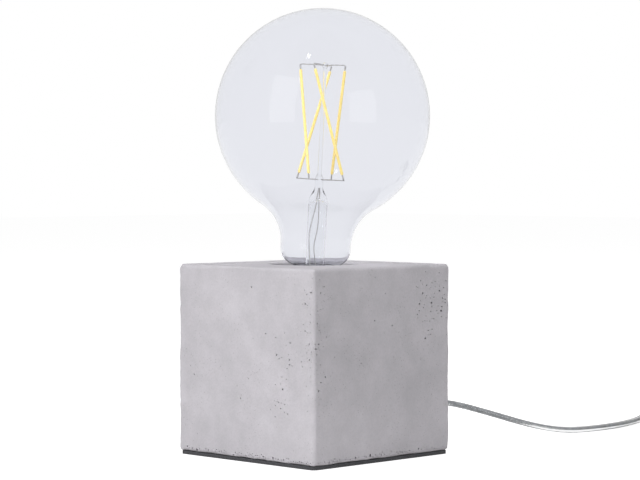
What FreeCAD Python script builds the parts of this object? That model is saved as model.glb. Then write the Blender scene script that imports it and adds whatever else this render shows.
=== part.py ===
import FreeCAD, Part
import Sketcher
import math
import os
import re

# Concrete table lamp: a cast block, a big clear globe bulb, a clear flat lead, an in-line switch and a plug.
# Millimetres. Origin at the centre of the pad's underside, on the table. +Z is up, and the lead leaves at +Y.

tiny = 1e-6
doc = FreeCAD.newDocument("concrete_table_lamp")
sheet = doc.addObject("Spreadsheet::Sheet", "Sizes")
Vector = FreeCAD.Vector
names = []
nodes = []


# Sheet

def drive(table):
    """Writes sizes to the sheet, one row each: a number as it is, a formula with its equals sign."""
    for name, size in table.items():
        names.append(name)
        row = len(names)
        sheet.set("A%d" % row, name)
        sheet.set("B%d" % row, str(size))
        sheet.setAlias("B%d" % row, name)
    doc.recompute([sheet])


def derive(**formulas):
    """Writes sizes that are worked out from others."""
    drive({name: "=" + formula for name, formula in formulas.items()})


def reference(formula):
    """The formula with each of its names pointing to the sheet."""
    return re.sub(r"[a-z]\w*", lambda m: "Sizes." + m.group() if m.group() in names else m.group(), formula)


def value(formula):
    """The number that a formula of named sizes gives."""
    if formula in names:
        return float(sheet.get(formula))
    sheet.set("D1", "=" + formula)
    doc.recompute([sheet])
    return float(sheet.get("D1"))


def bind(thing, **formulas):
    """Binds properties to formulas; x, y and z are the place."""
    for name, formula in formulas.items():
        path = "Placement.Base." + name if name in ("x", "y", "z") else name
        thing.setExpression(path, reference(formula))
    return thing


# Ways of making a piece

def outline(body, role, points):
    """A closed sketch on an origin plane: corners are (x, y), or (x, y, radius) before an arc."""
    sketch = body.newObject("Sketcher::SketchObject", body.Name + "_outline")
    plane = [feature for feature in body.Origin.OriginFeatures if feature.Role == role][0]
    sketch.AttachmentSupport = [(plane, "")]
    sketch.MapMode = "FlatFace"
    places = [Vector(value(point[0]), value(point[1]), 0) for point in points]
    ends = []
    for index, point in enumerate(points):
        start, end = places[index], places[(index + 1) % len(points)]
        if len(point) == 2:
            sketch.addGeometry(Part.LineSegment(start, end), False)
            ends.append((1, 2))
            continue
        radius, chord = value(point[2]), end - start
        middle = (start + end) * 0.5
        rise = math.sqrt(max(radius * radius - (chord.Length / 2) ** 2, 0))
        centre = middle + Vector(-chord.y, chord.x, 0).normalize() * math.copysign(rise, radius)
        first, last = (start, end) if radius > 0 else (end, start)
        circle = Part.Circle(centre, Vector(0, 0, 1), abs(radius))
        angles = [math.atan2(p.y - centre.y, p.x - centre.x) for p in (first, last)]
        sketch.addGeometry(Part.ArcOfCircle(circle, angles[0], angles[1]), False)
        ends.append((1, 2) if radius > 0 else (2, 1))
    for index, point in enumerate(points):
        following = (index + 1) % len(points)
        dimension(sketch, index, ends[index][0], point)
        add(sketch, "Coincident", index, ends[index][1], following, ends[following][0])
        if len(point) == 3:
            number = add(sketch, "Radius", index, abs(value(point[2])))
            sketch.setExpression("Constraints[%d]" % number, "abs(" + reference(point[2]) + ")")
    return sketch


def add(sketch, *constraint):
    return sketch.addConstraint(Sketcher.Constraint(*constraint))


def dimension(sketch, index, end, point):
    """Ties one corner to the sketch's axes, or gives its distances from them."""
    for kind, formula, axis in (("DistanceX", point[0], -2), ("DistanceY", point[1], -1)):
        if abs(value(formula)) < tiny:
            add(sketch, "PointOnObject", index, end, axis)
            continue
        number = add(sketch, kind, -1, 1, index, end, value(formula))
        sketch.setExpression("Constraints[%d]" % number, reference(formula))


def turned(label, points, **place):
    """A piece turned about its own Z axis from half its section."""
    body = doc.addObject("PartDesign::Body", label)
    revolution = body.newObject("PartDesign::Revolution", label + "_turning")
    revolution.Profile = outline(body, "XZ_Plane", points)
    revolution.ReferenceAxis = (revolution.Profile[0], ["V_Axis"])
    revolution.Angle = 360
    body.Tip = revolution
    return bind(body, **place)


def plate(label, points, thickness, role="XY_Plane", midplane=False, **place):
    """A piece of one thickness, padded from its outline."""
    body = doc.addObject("PartDesign::Body", label)
    pad = body.newObject("PartDesign::Pad", label + "_pad")
    pad.Profile = outline(body, role, points)
    bind(pad, Length=thickness)
    pad.Midplane = midplane
    body.Tip = pad
    return bind(body, **place)


def box(label, length, width, height, x="0", y="0", z="0"):
    """A block centred on x and y that stands on z."""
    block = doc.addObject("Part::Box", label)
    half = {"x": "%s - (%s) / 2" % (x, length), "y": "%s - (%s) / 2" % (y, width), "z": z}
    return bind(block, Length=length, Width=width, Height=height, **half)


def rod(label, radius, height, x="0", y="0", z="0", along="Z"):
    """A round bar that starts at x, y, z and runs along an axis."""
    bar = doc.addObject("Part::Cylinder", label)
    turns = {"Z": (Vector(1, 0, 0), 0), "Y": (Vector(1, 0, 0), -90), "X": (Vector(0, 1, 0), 90)}
    bar.Placement = FreeCAD.Placement(Vector(), FreeCAD.Rotation(*turns[along]))
    return bind(bar, Radius=radius, Height=height, x=x, y=y, z=z)


def joined(label, *things):
    union = doc.addObject("Part::MultiFuse", label)
    union.Shapes = list(things)
    union.Refine = True
    return union


def cut(label, base, *tools):
    difference = doc.addObject("Part::Cut", label)
    difference.Base = base
    difference.Tool = tools[0] if len(tools) == 1 else joined(label + "_tools", *tools)
    return difference


def group(label, *things):
    """Separate solids that share one node."""
    several = doc.addObject("Part::Compound", label)
    several.Links = list(things)
    return several


def rounded(label, base, radius, choose):
    """Rounds the edges of a base that a test of their middle points picks."""
    doc.recompute()
    fillet = doc.addObject("Part::Fillet", label)
    fillet.Base = base
    size = value(radius)
    edges = enumerate(base.Shape.Edges, 1)
    fillet.Edges = [(n, size, size) for n, edge in edges if choose(edge)]
    return fillet


def lies_at(edge, *heights):
    """Whether an edge's middle lies at one of the heights."""
    return any(abs(edge.CenterOfMass.z - value(height)) < tiny for height in heights)


def coded(label, shape, z=None):
    """A piece whose shape no feature gives, such as a thread or a cord."""
    feature = doc.addObject("Part::Feature", label)
    feature.Shape = shape
    return bind(feature, z=z) if z else feature


def node(*things):
    nodes.extend(things)


# Base pad and cast block

block_sizes = {
    "pad_thickness": 2, "pad_inset": 0.75, "pad_corner": 3, "block_side": 112, "block_height": 109,
    "block_corner": 2.5, "block_rim": 1.6, "overrun": 1, "cavity_side": 84, "recess_depth": 59,
    "cavity_corner": 8, "web_thickness": 10, "recess_radius": 26, "recess_rim": 1.2, "cord_hole_radius": 6,
    "cord_hole_share": 0.525, "web_hole_gap": 0.25, "nipple_radius": 5, "nipple_bore": 3.8, "nipple_proud": 2,
    "nut_thickness": 3, "nut_flats": 14, "thread_gap": 0.05, "washer_radius": 12, "washer_thickness": 1.5,
    "dome_floor": 6
}
drive(block_sizes)
derive(pad_side="block_side - 2 * pad_inset", block_top="pad_thickness + block_height",
       cavity_height="block_height - recess_depth - web_thickness",
       web_bottom="pad_thickness + cavity_height", web_top="web_bottom + web_thickness",
       cord_height="pad_thickness + cord_hole_share * cavity_height", wall="(block_side - cavity_side) / 2")


def square(side, corner):
    """Corners of a rounded square, counterclockwise."""
    half, inner = side + " / 2", "%s / 2 - %s" % (side, corner)
    return [("-(%s)" % inner, "-" + half), (inner, "-" + half, corner),
            (half, "-(%s)" % inner), (half, inner, corner),
            (inner, half), ("-(%s)" % inner, half, corner),
            ("-" + half, inner), ("-" + half, "-(%s)" % inner, corner)]


base_pad = plate("base_pad", square("pad_side", "pad_corner"), "pad_thickness")
casting = plate("casting", square("block_side", "block_corner"), "block_height", z="pad_thickness")
worn = rounded("worn_casting", casting, "block_rim", lambda edge: lies_at(edge, "pad_thickness", "block_top"))
cavity = plate("cavity", square("cavity_side", "cavity_corner"), "cavity_height + overrun",
               z="pad_thickness - overrun")
recess = rod("recess", "recess_radius", "block_top - web_top + overrun", z="web_top")
web_hole = rod("web_hole", "nipple_radius + web_hole_gap", "web_thickness + 2 * overrun",
               z="web_bottom - overrun")
cord_hole = rod("cord_hole", "cord_hole_radius", "wall + 2 * overrun", y="cavity_side / 2 - overrun",
                z="cord_height", along="Y")
drilled = cut("drilled_block", worn, cavity, recess, web_hole, cord_hole)
block = rounded("concrete_block", drilled, "recess_rim",
                lambda edge: edge.Closed and lies_at(edge, "block_top"))
node(base_pad, block)

# Threaded nipple that ties the lamp holder to the block's web

derive(nipple_bottom="web_bottom - washer_thickness - nut_thickness - nipple_proud",
       dome_bottom="web_top + washer_thickness", nipple_length="dome_bottom + dome_floor - nipple_bottom")


def sleeve(label, outer, inner, height, z):
    """A plain ring or tube about the lamp's axis."""
    return turned(label, [(inner, "0"), (outer, "0"), (outer, height), (inner, height)], z=z)


nipple = sleeve("threaded_nipple", "nipple_radius", "nipple_bore", "nipple_length", "nipple_bottom")
lower_washer = sleeve("lower_washer", "washer_radius", "nipple_radius + web_hole_gap", "washer_thickness",
                      "web_bottom - washer_thickness")
upper_washer = sleeve("upper_washer", "washer_radius", "nipple_radius + web_hole_gap", "washer_thickness",
                      "web_top")


def hexagon(label, flats, height, **place):
    prism = doc.addObject("Part::Prism", label)
    prism.Polygon = 6
    return bind(prism, Circumradius=flats + " / sqrt(3)", Height=height, **place)


nut_blank = hexagon("nut_blank", "nut_flats", "nut_thickness",
                    z="web_bottom - washer_thickness - nut_thickness")
nut_bore = rod("nut_bore", "nipple_radius + thread_gap", "nut_thickness + 2 * overrun",
               z="web_bottom - washer_thickness - nut_thickness - overrun")
node(nipple, lower_washer, upper_washer, cut("nipple_nut", nut_blank, nut_bore))

# Bulb cap and holder thread: the screw pair shares one pitch and axis

screw_sizes = {
    "rim_drop": 7, "thread_pitch": 3.629, "cap_core": 12, "cap_crest": 13.1, "cap_sheet": 0.4,
    "cap_length": 20, "ridge_root": 2.5, "ridge_tip": 0.9, "cap_ridge_start": 1.5, "cap_turns": 3.2,
    "collar_height": 5.2, "cap_flare": 13.9, "cap_lip": 1.6, "holder_bore": 13.45, "holder_crest": 12.4,
    "shell_sheet": 0.45, "holder_turns": 3.2, "shell_height": 18, "root_bite": 0.15, "shell_below_rim": 5.5
}
drive(screw_sizes)
derive(rim_height="block_top - rim_drop", cap_bottom="rim_height - cap_length",
       shell_top="rim_height - shell_below_rim", shell_bottom="shell_top - shell_height")


def ridge(root, crest, turns):
    """A helical ridge on a round wall: a trapezium swept along the screw line, with its foot in the wall."""
    pitch = value("thread_pitch")
    line = Part.makeHelix(pitch, pitch * turns, root)
    foot, tip = value("ridge_root") / 2, value("ridge_tip") / 2
    inside = root + math.copysign(value("root_bite"), root - crest)
    corners = [Vector(inside, 0, -foot), Vector(root, 0, -foot), Vector(crest, 0, -tip),
               Vector(crest, 0, tip), Vector(root, 0, foot), Vector(inside, 0, foot)]
    section = Part.makePolygon(corners + corners[:1])
    sweep = Part.BRepOffsetAPI.MakePipeShell(Part.Wire(line.Edges))
    sweep.setFrenetMode(True)
    sweep.add(section)
    sweep.build()
    sweep.makeSolid()
    return sweep.shape()


doc.recompute()
cap_blank = turned("cap_blank", [
    ("cap_core - cap_sheet", "0"), ("cap_core", "0"), ("cap_core", "cap_length - collar_height"),
    ("cap_crest", "cap_length - collar_height + cap_crest - cap_core"), ("cap_crest", "cap_length - cap_lip"),
    ("cap_flare", "cap_length"), ("cap_flare - cap_sheet", "cap_length"),
    ("cap_crest - cap_sheet", "cap_length - cap_lip"),
    ("cap_crest - cap_sheet", "cap_length - collar_height + cap_crest - cap_core"),
    ("cap_core - cap_sheet", "cap_length - collar_height")], z="cap_bottom")
derive(cap_thread="cap_bottom + cap_ridge_start + ridge_root / 2",
       shell_thread="shell_bottom + ridge_root / 2 + "
                    "mod(cap_thread + thread_pitch / 2 - shell_bottom - ridge_root / 2; thread_pitch)")
cap_ridge = coded("cap_ridge", ridge(value("cap_core"), value("cap_crest"), value("cap_turns")),
                  z="cap_thread")
cap_shell = joined("cap_shell", cap_blank, cap_ridge)
cap_shell.Refine = False
shell_blank = sleeve("shell_blank", "holder_bore + shell_sheet", "holder_bore", "shell_height",
                     "shell_bottom")
shell_ridge = coded("shell_ridge", ridge(value("holder_bore"), value("holder_crest"), value("holder_turns")),
                    z="shell_thread")
screw_shell = joined("screw_shell", shell_blank, shell_ridge)
screw_shell.Refine = False
node(cap_shell, screw_shell)

# Rest of the lamp holder: dome on the nipple, skirt, insert, contacts and screws

holder_sizes = {
    "skirt_radius": 19.5, "skirt_drop": 2.6, "skirt_gap": 0.15, "skirt_bore": 15.2, "skirt_round": 1.5,
    "skirt_tail": 5, "dome_foot": 14, "dome_height": 16, "dome_wall": 2.4, "insert_thickness": 9,
    "insert_gap": 0.1
}
drive(holder_sizes)
derive(dome_top="dome_bottom + dome_height", dome_bore="skirt_radius - dome_wall",
       mouth="holder_bore + shell_sheet + skirt_gap", insert_bottom="shell_bottom - insert_thickness",
       skirt_base="dome_top - skirt_tail", skirt_height="rim_height - skirt_drop - skirt_base")
dome_blank = turned("dome_blank", [
    ("nipple_radius + thread_gap", "0"), ("dome_foot", "0", "skirt_radius - dome_foot"),
    ("skirt_radius", "skirt_radius - dome_foot"), ("skirt_radius", "dome_height"),
    ("dome_bore", "dome_height"),
    ("dome_bore", "dome_floor"), ("nipple_radius + thread_gap", "dome_floor")], z="dome_bottom")
lock_sizes = {"lock_screw_radius": 1.4, "lock_screw_gap": 0.05, "lock_screw_height": 3}
drive(lock_sizes)
lock_hole = rod("lock_hole", "lock_screw_radius + lock_screw_gap", "dome_wall + 2 * overrun",
                x="dome_bore - overrun", z="dome_top - lock_screw_height", along="X")
holder_dome = cut("holder_dome", dome_blank, lock_hole)
lock_screw = rod("dome_lock_screw", "lock_screw_radius", "dome_wall", x="dome_bore",
                 z="dome_top - lock_screw_height",
                 along="X")
holder_skirt = turned("holder_skirt", [
    ("skirt_bore", "0"), ("dome_bore - skirt_gap", "0"), ("dome_bore - skirt_gap", "skirt_tail"),
    ("skirt_radius", "skirt_tail"), ("skirt_radius", "skirt_height - skirt_round", "skirt_round"),
    ("skirt_radius - skirt_round", "skirt_height"), ("mouth", "skirt_height"),
    ("mouth", "shell_bottom + insert_gap - skirt_base"),
    ("skirt_bore", "shell_bottom + insert_gap - skirt_base")],
    z="skirt_base")
leaf_sizes = {
    "leaf_recess": 7.6, "leaf_recess_depth": 5, "leaf_sheet": 0.5, "leaf_heel": 0.75, "leaf_width": 5,
    "leaf_half": 6.5,
    "leaf_tip": 2.6, "terminal_offset": 9.5, "terminal_length": 6, "terminal_width": 7,
    "terminal_height": 6.2, "rivet_radius": 1.45, "rivet_gap": 0.05, "screw_radius": 1.4, "screw_head": 2.4,
    "screw_head_height": 1.5, "screw_length": 4
}
drive(leaf_sizes)
insert_blank = sleeve("insert_blank", "skirt_bore - insert_gap", "rivet_radius", "insert_thickness",
                      "insert_bottom")
leaf_pocket = rod("leaf_pocket", "leaf_recess", "leaf_recess_depth + overrun",
                  z="shell_bottom - leaf_recess_depth")
terminals = []
screws = []
rivet_holes = []
for side, word in (("-", "line"), ("", "neutral")):
    across = side + "terminal_offset"
    rivet_holes.append(rod(word + "_rivet_hole", "rivet_radius + rivet_gap", "insert_thickness + 2 * overrun",
                           x=across, z="insert_bottom - overrun"))
    lump = box(word + "_lump", "terminal_length", "terminal_width", "terminal_height", x=across,
               z="insert_bottom - terminal_height")
    rivet = rod(word + "_rivet", "rivet_radius", "insert_thickness + terminal_height / 2", x=across,
                z="insert_bottom - terminal_height / 2")
    bar = joined(word + "_bar", lump, rivet)
    level = {"x": across, "z": "insert_bottom - terminal_height / 2", "along": "Y"}
    tapping = rod(word + "_tapping", "screw_radius + rivet_gap", "screw_length + overrun",
                  y="-terminal_width / 2 - overrun", **level)
    terminals.append(cut(word + "_terminal", bar, tapping))
    shank = rod(word + "_shank", "screw_radius", "screw_length", y="-terminal_width / 2", **level)
    head = rod(word + "_head", "screw_head", "screw_head_height",
               y="-terminal_width / 2 - screw_head_height", **level)
    screws.append(joined(word + "_screw", shank, head))
holder_insert = cut("holder_insert", insert_blank, leaf_pocket, *rivet_holes)
insulator_sizes = {"insulator_drop": 4.5, "contact_drop": 1.3, "contact_gap": 0.05}
drive(insulator_sizes)
derive(tip_height="cap_bottom - insulator_drop - contact_drop",
       pocket_floor="shell_bottom - leaf_recess_depth", leaf_rise="tip_height - contact_gap - pocket_floor")
centre_contact = plate("centre_contact", [
    ("-leaf_half", "0"), ("leaf_half", "0"), ("leaf_half", "leaf_sheet"),
    ("2 * leaf_sheet - leaf_half", "leaf_sheet"),
    ("0", "leaf_rise - leaf_sheet"), ("leaf_tip", "leaf_rise - leaf_sheet"), ("leaf_tip", "leaf_rise"),
    ("-leaf_sheet / 2", "leaf_rise"), ("-leaf_half", "leaf_heel")],
    "leaf_width", role="XZ_Plane", midplane=True, z="pocket_floor")
node(holder_dome, lock_screw, holder_skirt, holder_insert, centre_contact, *terminals)
node(group("terminal_screws", *screws))

# Bulb cap's insulator, tip contact and driver

driver_sizes = {
    "contact_radius": 4.6, "contact_flat": 3.2, "insulator_foot": 5.2, "insulator_edge": 0.9,
    "insulator_plug": 1.5, "board_sheet": 1, "board_width": 15, "board_height": 12, "board_gap": 0.1,
    "capacitor_radius": 2.8, "capacitor_height": 7, "chip_height": 2, "chip_width": 5
}
drive(driver_sizes)
cap_insulator = turned("cap_insulator", [
    ("0", "0"), ("insulator_foot", "0"), ("cap_core", "insulator_drop - insulator_edge"),
    ("cap_core", "insulator_drop"), ("cap_core - cap_sheet - rivet_gap", "insulator_drop"),
    ("cap_core - cap_sheet - rivet_gap", "insulator_drop + insulator_plug"),
    ("0", "insulator_drop + insulator_plug")],
    z="cap_bottom - insulator_drop")
cap_contact = turned("cap_contact", [
    ("0", "0"), ("contact_flat", "0"), ("contact_radius", "contact_drop"), ("0", "contact_drop")],
    z="tip_height")
derive(board_foot="cap_bottom + insulator_plug + board_gap", board_top="board_foot + board_height")
driver_board = box("driver_board", "board_sheet", "board_width", "board_height", z="board_foot")
capacitor = rod("capacitor", "capacitor_radius", "capacitor_height",
                x="board_sheet / 2 + board_gap + capacitor_radius",
                z="board_foot")
chip = box("chip", "chip_height", "chip_width", "chip_width",
           x="-(board_sheet + chip_height) / 2 - board_gap",
           z="cap_bottom + board_height / 2")
node(cap_insulator, cap_contact, driver_board, group("driver_parts", capacitor, chip))

# Globe, stem, filaments and their wires, in the bulb's own frame, which leans to the photograph's right

globe_sizes = {
    "globe_radius": 62.5, "neck_height": 17.98, "neck_radius": 20.5, "throat_radius": 25.5,
    "shoulder_radius": 12.5, "glass_wall": 0.9, "glass_skirt": 12.35, "glass_seat": 3, "bulb_lean": 3,
    "bulb_turn": 45
}
drive(globe_sizes)
derive(throat_reach="globe_radius + throat_radius", throat_x="neck_radius + throat_radius",
       throat_drop="sqrt(throat_reach * throat_reach - throat_x * throat_x)",
       globe_centre="neck_height + throat_drop", shoulder_x="neck_radius - shoulder_radius",
       shoulder_fall="sqrt(shoulder_radius ^ 2 - (glass_skirt - shoulder_x) ^ 2)",
       inner_fall="sqrt((shoulder_radius - glass_wall) ^ 2 - (glass_skirt - glass_wall - shoulder_x) ^ 2)",
       inner_globe="globe_radius - glass_wall")
turned_round = FreeCAD.Rotation(Vector(0, 0, 1), value("bulb_turn"))
leaned_over = FreeCAD.Rotation(Vector(0, 1, 0), value("bulb_lean"))
bulb_frame = FreeCAD.Placement(Vector(0, 0, value("rim_height")), turned_round * leaned_over)


def leaning(thing):
    """Sets a piece made in the bulb's frame where the bulb stands."""
    thing.Placement = bulb_frame.multiply(thing.Placement)
    return bind(thing, z="rim_height")


glass_envelope = turned("glass_envelope", [
    ("glass_skirt", "-glass_seat"), ("glass_skirt", "neck_height - shoulder_fall", "shoulder_radius"),
    ("neck_radius", "neck_height", "-throat_radius"),
    ("throat_x * globe_radius / throat_reach", "globe_centre - throat_drop * globe_radius / throat_reach",
     "globe_radius"),
    ("0", "globe_centre + globe_radius"), ("0", "globe_centre + inner_globe", "-inner_globe"),
    ("throat_x * inner_globe / throat_reach", "globe_centre - throat_drop * inner_globe / throat_reach",
     "throat_radius + glass_wall"),
    ("neck_radius - glass_wall", "neck_height", "-(shoulder_radius - glass_wall)"),
    ("glass_skirt - glass_wall", "neck_height - inner_fall"), ("glass_skirt - glass_wall", "-glass_seat")])
stem_sizes = {
    "stem_radius": 5.5, "stem_wall": 0.8, "stem_gap": 0.1, "flare_height": 9, "stem_shoulder": 45.5,
    "press_height": 52, "press_radius": 2.4, "press_top": 55, "spindle_radius": 1.15, "hub_height": 122.4,
    "hub_radius": 1.8
}
drive(stem_sizes)
derive(stem_flare="glass_skirt - glass_wall - stem_gap")
bulb_stem = turned("bulb_stem", [
    ("stem_flare", "-glass_seat"), ("stem_radius", "flare_height"), ("stem_radius", "stem_shoulder"),
    ("press_radius", "press_height"), ("press_radius", "press_top"),
    ("spindle_radius", "press_top + press_radius"),
    ("spindle_radius", "hub_height - hub_radius"), ("hub_radius", "hub_height - spindle_radius"),
    ("hub_radius", "hub_height + spindle_radius"), ("spindle_radius", "hub_height + hub_radius"),
    ("0", "hub_height + hub_radius"), ("0", "stem_shoulder - stem_wall"),
    ("stem_radius - stem_wall", "stem_shoulder - stem_wall - stem_radius / 2"),
    ("stem_radius - stem_wall", "flare_height"), ("stem_flare - stem_wall", "-glass_seat")])
node(leaning(glass_envelope), leaning(bulb_stem))


def strut(label, start, end, radius, from_start="0", from_end="0"):
    """A straight wire between two points of the bulb's frame, kept clear of both ends by a gap."""
    along = (end - start).normalize()
    first, last = start + along * value(from_start), end - along * value(from_end)
    wire = doc.addObject("Part::Cylinder", label)
    bind(wire, Radius=radius)
    wire.Height = (last - first).Length
    turn = FreeCAD.Rotation(Vector(0, 0, 1), along)
    wire.Placement = bulb_frame.multiply(FreeCAD.Placement(first, turn))
    return wire


filament_sizes = {
    "filament_radius": 0.85, "filament_drop": 2.7, "filament_rise": 4.2, "top_ring": 13.6,
    "bottom_ring": 14.4, "filament_start_angle": 62, "filament_twist_angle": 80.8, "filament_count": 4,
    "top_shift": 1.3, "bottom_shift": 0.5, "tab_radius": 0.5, "tab_length": 3, "wire_radius": 0.3,
    "wire_gap": 0.05, "lead_offset": 4.2
}
drive(filament_sizes)
derive(filament_top="hub_height - filament_drop", filament_bottom="press_top + filament_rise")
tabs, top_wires, bottom_wires = [], [], []
hub = Vector(0, 0, value("hub_height"))
press = Vector(0, 0, value("press_top - press_radius / 2"))
for number in range(int(value("filament_count"))):
    low_angle = math.radians(value("filament_start_angle + 360 * %d / filament_count" % number))
    high_angle = low_angle - math.radians(value("filament_twist_angle"))
    low = Vector(value("bottom_ring") * math.cos(low_angle) + value("bottom_shift"),
                 value("bottom_ring") * math.sin(low_angle), value("filament_bottom"))
    high = Vector(value("top_ring") * math.cos(high_angle) - value("top_shift"),
                  value("top_ring") * math.sin(high_angle), value("filament_top"))
    along = (high - low).normalize() * value("tab_length")
    node(strut("led_filament_%d" % (number + 1), low, high, "filament_radius"))
    tabs.append(strut("low_tab_%d" % number, low - along, low, "tab_radius"))
    tabs.append(strut("high_tab_%d" % number, high, high + along, "tab_radius"))
    top_wires.append(strut("top_wire_%d" % number, hub, high + along, "wire_radius",
                           "hub_radius + wire_radius", "tab_radius + wire_gap"))
    bottom_wires.append(strut("bottom_wire_%d" % number, press, low - along, "wire_radius",
                              "press_radius + wire_radius", "tab_radius + wire_gap"))
leads = []
for side in (-1, 1):
    top = Vector(0, side * value("lead_offset"), value("stem_shoulder - stem_radius"))
    foot = Vector(0, side * value("lead_offset"), value("board_top + board_gap + wire_gap - rim_height"))
    leads.append(strut("lead_in_%d" % side, foot, top, "wire_radius"))
node(group("filament_tabs", *tabs), group("top_wires", *top_wires), group("bottom_wires", *bottom_wires))
node(group("lead_in_wires", *leads))

# Cords: round tubes along straight runs joined by tangent arcs

cord_sizes = {"cord_width": 5.6, "cord_thickness": 3.6, "bend_share": 0.45}
drive(cord_sizes)
derive(cord_radius="(cord_width + cord_thickness) / 4")


def rounded_route(label, points, bend=None):
    """The route as one wire: straight runs joined by tangent arcs, of one bend or as large as fits."""
    edges, radii, here = [], [], points[0]
    for before, corner, after in zip(points, points[1:], points[2:]):
        back, ahead = before - corner, after - corner
        half = (math.pi - back.getAngle(ahead)) / 2
        reach = value("bend_share") * min(back.Length, ahead.Length)
        radius = bend or reach / math.tan(half)
        reach = radius * math.tan(half)
        start = corner + back.normalize() * reach
        end = corner + ahead.normalize() * reach
        inward = (back + ahead).normalize()
        middle = corner + inward * (radius / math.cos(half) - radius)
        edges.append(Part.LineSegment(here, start).toShape())
        edges.append(Part.Arc(start, middle, end).toShape())
        radii.append(radius)
        here = end
    edges.append(Part.LineSegment(here, points[-1]).toShape())
    print(label, "radii", [round(radius, 1) for radius in radii])
    return Part.Wire(edges)


def tube(label, route, radius):
    """A round tube along a wire, whose volume is set against its section times its length."""
    start = route.OrderedVertexes[0].Point
    heading = route.OrderedEdges[0].tangentAt(route.OrderedEdges[0].FirstParameter)
    circle = Part.Wire(Part.Circle(start, heading, value(radius)).toShape())
    sweep = Part.BRepOffsetAPI.MakePipeShell(route)
    sweep.setTransitionMode(1)
    sweep.add(circle)
    sweep.build()
    sweep.makeSolid()
    solid = sweep.shape()
    expected = math.pi * value(radius) ** 2 * route.Length
    print(label, "length", round(route.Length, 1), "volume over section times length",
          round(solid.Volume / expected, 4))
    return coded(label, solid)


# Cable entry: bush through the back wall, its nut, and the cord from there up to the terminals

bush_sizes = {
    "bush_radius": 5.75, "bush_flange": 8.5, "bush_flange_height": 2.5, "bush_neck": 4.8, "bush_tip": 3.4,
    "bush_reach": 28, "bush_tail": 6, "bush_nut_thickness": 4, "bush_nut_flats": 16, "cord_gap": 0.1,
    "inner_bend": 11.5, "cord_rise": 0.5, "core_radius": 0.9, "core_offset": 1.1, "core_bend": 1.2,
    "core_lift": 2.2
}
drive(bush_sizes)
bush = turned("exit_bush", [
    ("cord_radius + cord_gap", "-(wall + bush_tail)"), ("bush_radius", "-(wall + bush_tail)"),
    ("bush_radius", "0"),
    ("bush_flange", "0"), ("bush_flange", "bush_flange_height"), ("bush_neck", "bush_flange_height"),
    ("bush_tip", "bush_reach"), ("cord_radius + cord_gap", "bush_reach")])
bush.Placement = FreeCAD.Placement(Vector(), FreeCAD.Rotation(Vector(1, 0, 0), -90))
bind(bush, y="block_side / 2", z="cord_height")
bush_nut_blank = hexagon("bush_nut_blank", "bush_nut_flats", "bush_nut_thickness")
bush_nut_blank.Placement = bush.Placement
bind(bush_nut_blank, y="cavity_side / 2 - bush_nut_thickness", z="cord_height")
bush_nut_bore = rod("bush_nut_bore", "bush_radius + thread_gap", "bush_nut_thickness + 2 * overrun",
                    y="cavity_side / 2 - bush_nut_thickness - overrun", z="cord_height", along="Y")
exit_y, exit_z = value("block_side / 2 + bush_reach"), value("cord_height")
cord_top = value("dome_bottom + dome_floor + cord_rise")
inner_route = [Vector(0, exit_y, exit_z), Vector(0, 0, exit_z), Vector(0, 0, cord_top)]
inner_cord = tube("inner_cord", rounded_route("inner_cord", inner_route, value("inner_bend")), "cord_radius")
node(bush, cut("bush_nut", bush_nut_blank, bush_nut_bore), inner_cord)
for side, word in ((-1, "line"), (1, "neutral")):
    near, far = side * value("core_offset"), side * value("terminal_offset")
    turn_height = cord_top + value("core_lift")
    ends = value("insert_bottom - terminal_height")
    core_route = [Vector(near, 0, cord_top), Vector(near, 0, turn_height), Vector(far, 0, turn_height),
                  Vector(far, 0, ends)]
    core_wire = rounded_route(word + "_core", core_route, value("core_bend"))
    node(tube(word + "_core", core_wire, "core_radius"))

# In-line rocker switch on the table, past the photograph's right edge

switch_sizes = {
    "switch_x": 30, "switch_start": 302, "switch_length": 62, "switch_width": 27, "switch_corner": 6,
    "base_height": 9, "cover_height": 9.5, "switch_wall": 2, "entry_height": 6, "rocker_reach": 10.4,
    "rocker_apex": 5, "rocker_low": 3, "rocker_foot": 10, "rocker_width": 12, "rocker_tip": 8,
    "rocker_gap": 0.3, "pin_radius": 1, "pin_gap": 0.05, "pin_height": 16, "cheek": 2.5, "cheek_half": 3,
    "case_screw": 1.25, "case_screw_head": 2.4, "case_screw_inset": 7, "head_depth": 0.4, "boss_radius": 3,
    "stud_length": 4, "stud_width": 6, "stud_height": 5, "stud_offset": 15, "sink_floor": 1.5
}
drive(switch_sizes)
derive(switch_y="switch_start + switch_length / 2", case_height="base_height + cover_height",
       cavity_length="switch_length - 2 * switch_wall", cavity_width="switch_width - 2 * switch_wall")


def rectangle(width, length, corner):
    """Corners of a rounded rectangle, counterclockwise."""
    x, y = "(%s) / 2" % width, "(%s) / 2" % length
    near_x, near_y = "(%s - (%s))" % (x, corner), "(%s - (%s))" % (y, corner)
    return [("-" + near_x, "-" + y), (near_x, "-" + y, corner), (x, "-" + near_y), (x, near_y, corner),
            (near_x, y), ("-" + near_x, y, corner), ("-" + x, near_y), ("-" + x, "-" + near_y, corner)]


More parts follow.
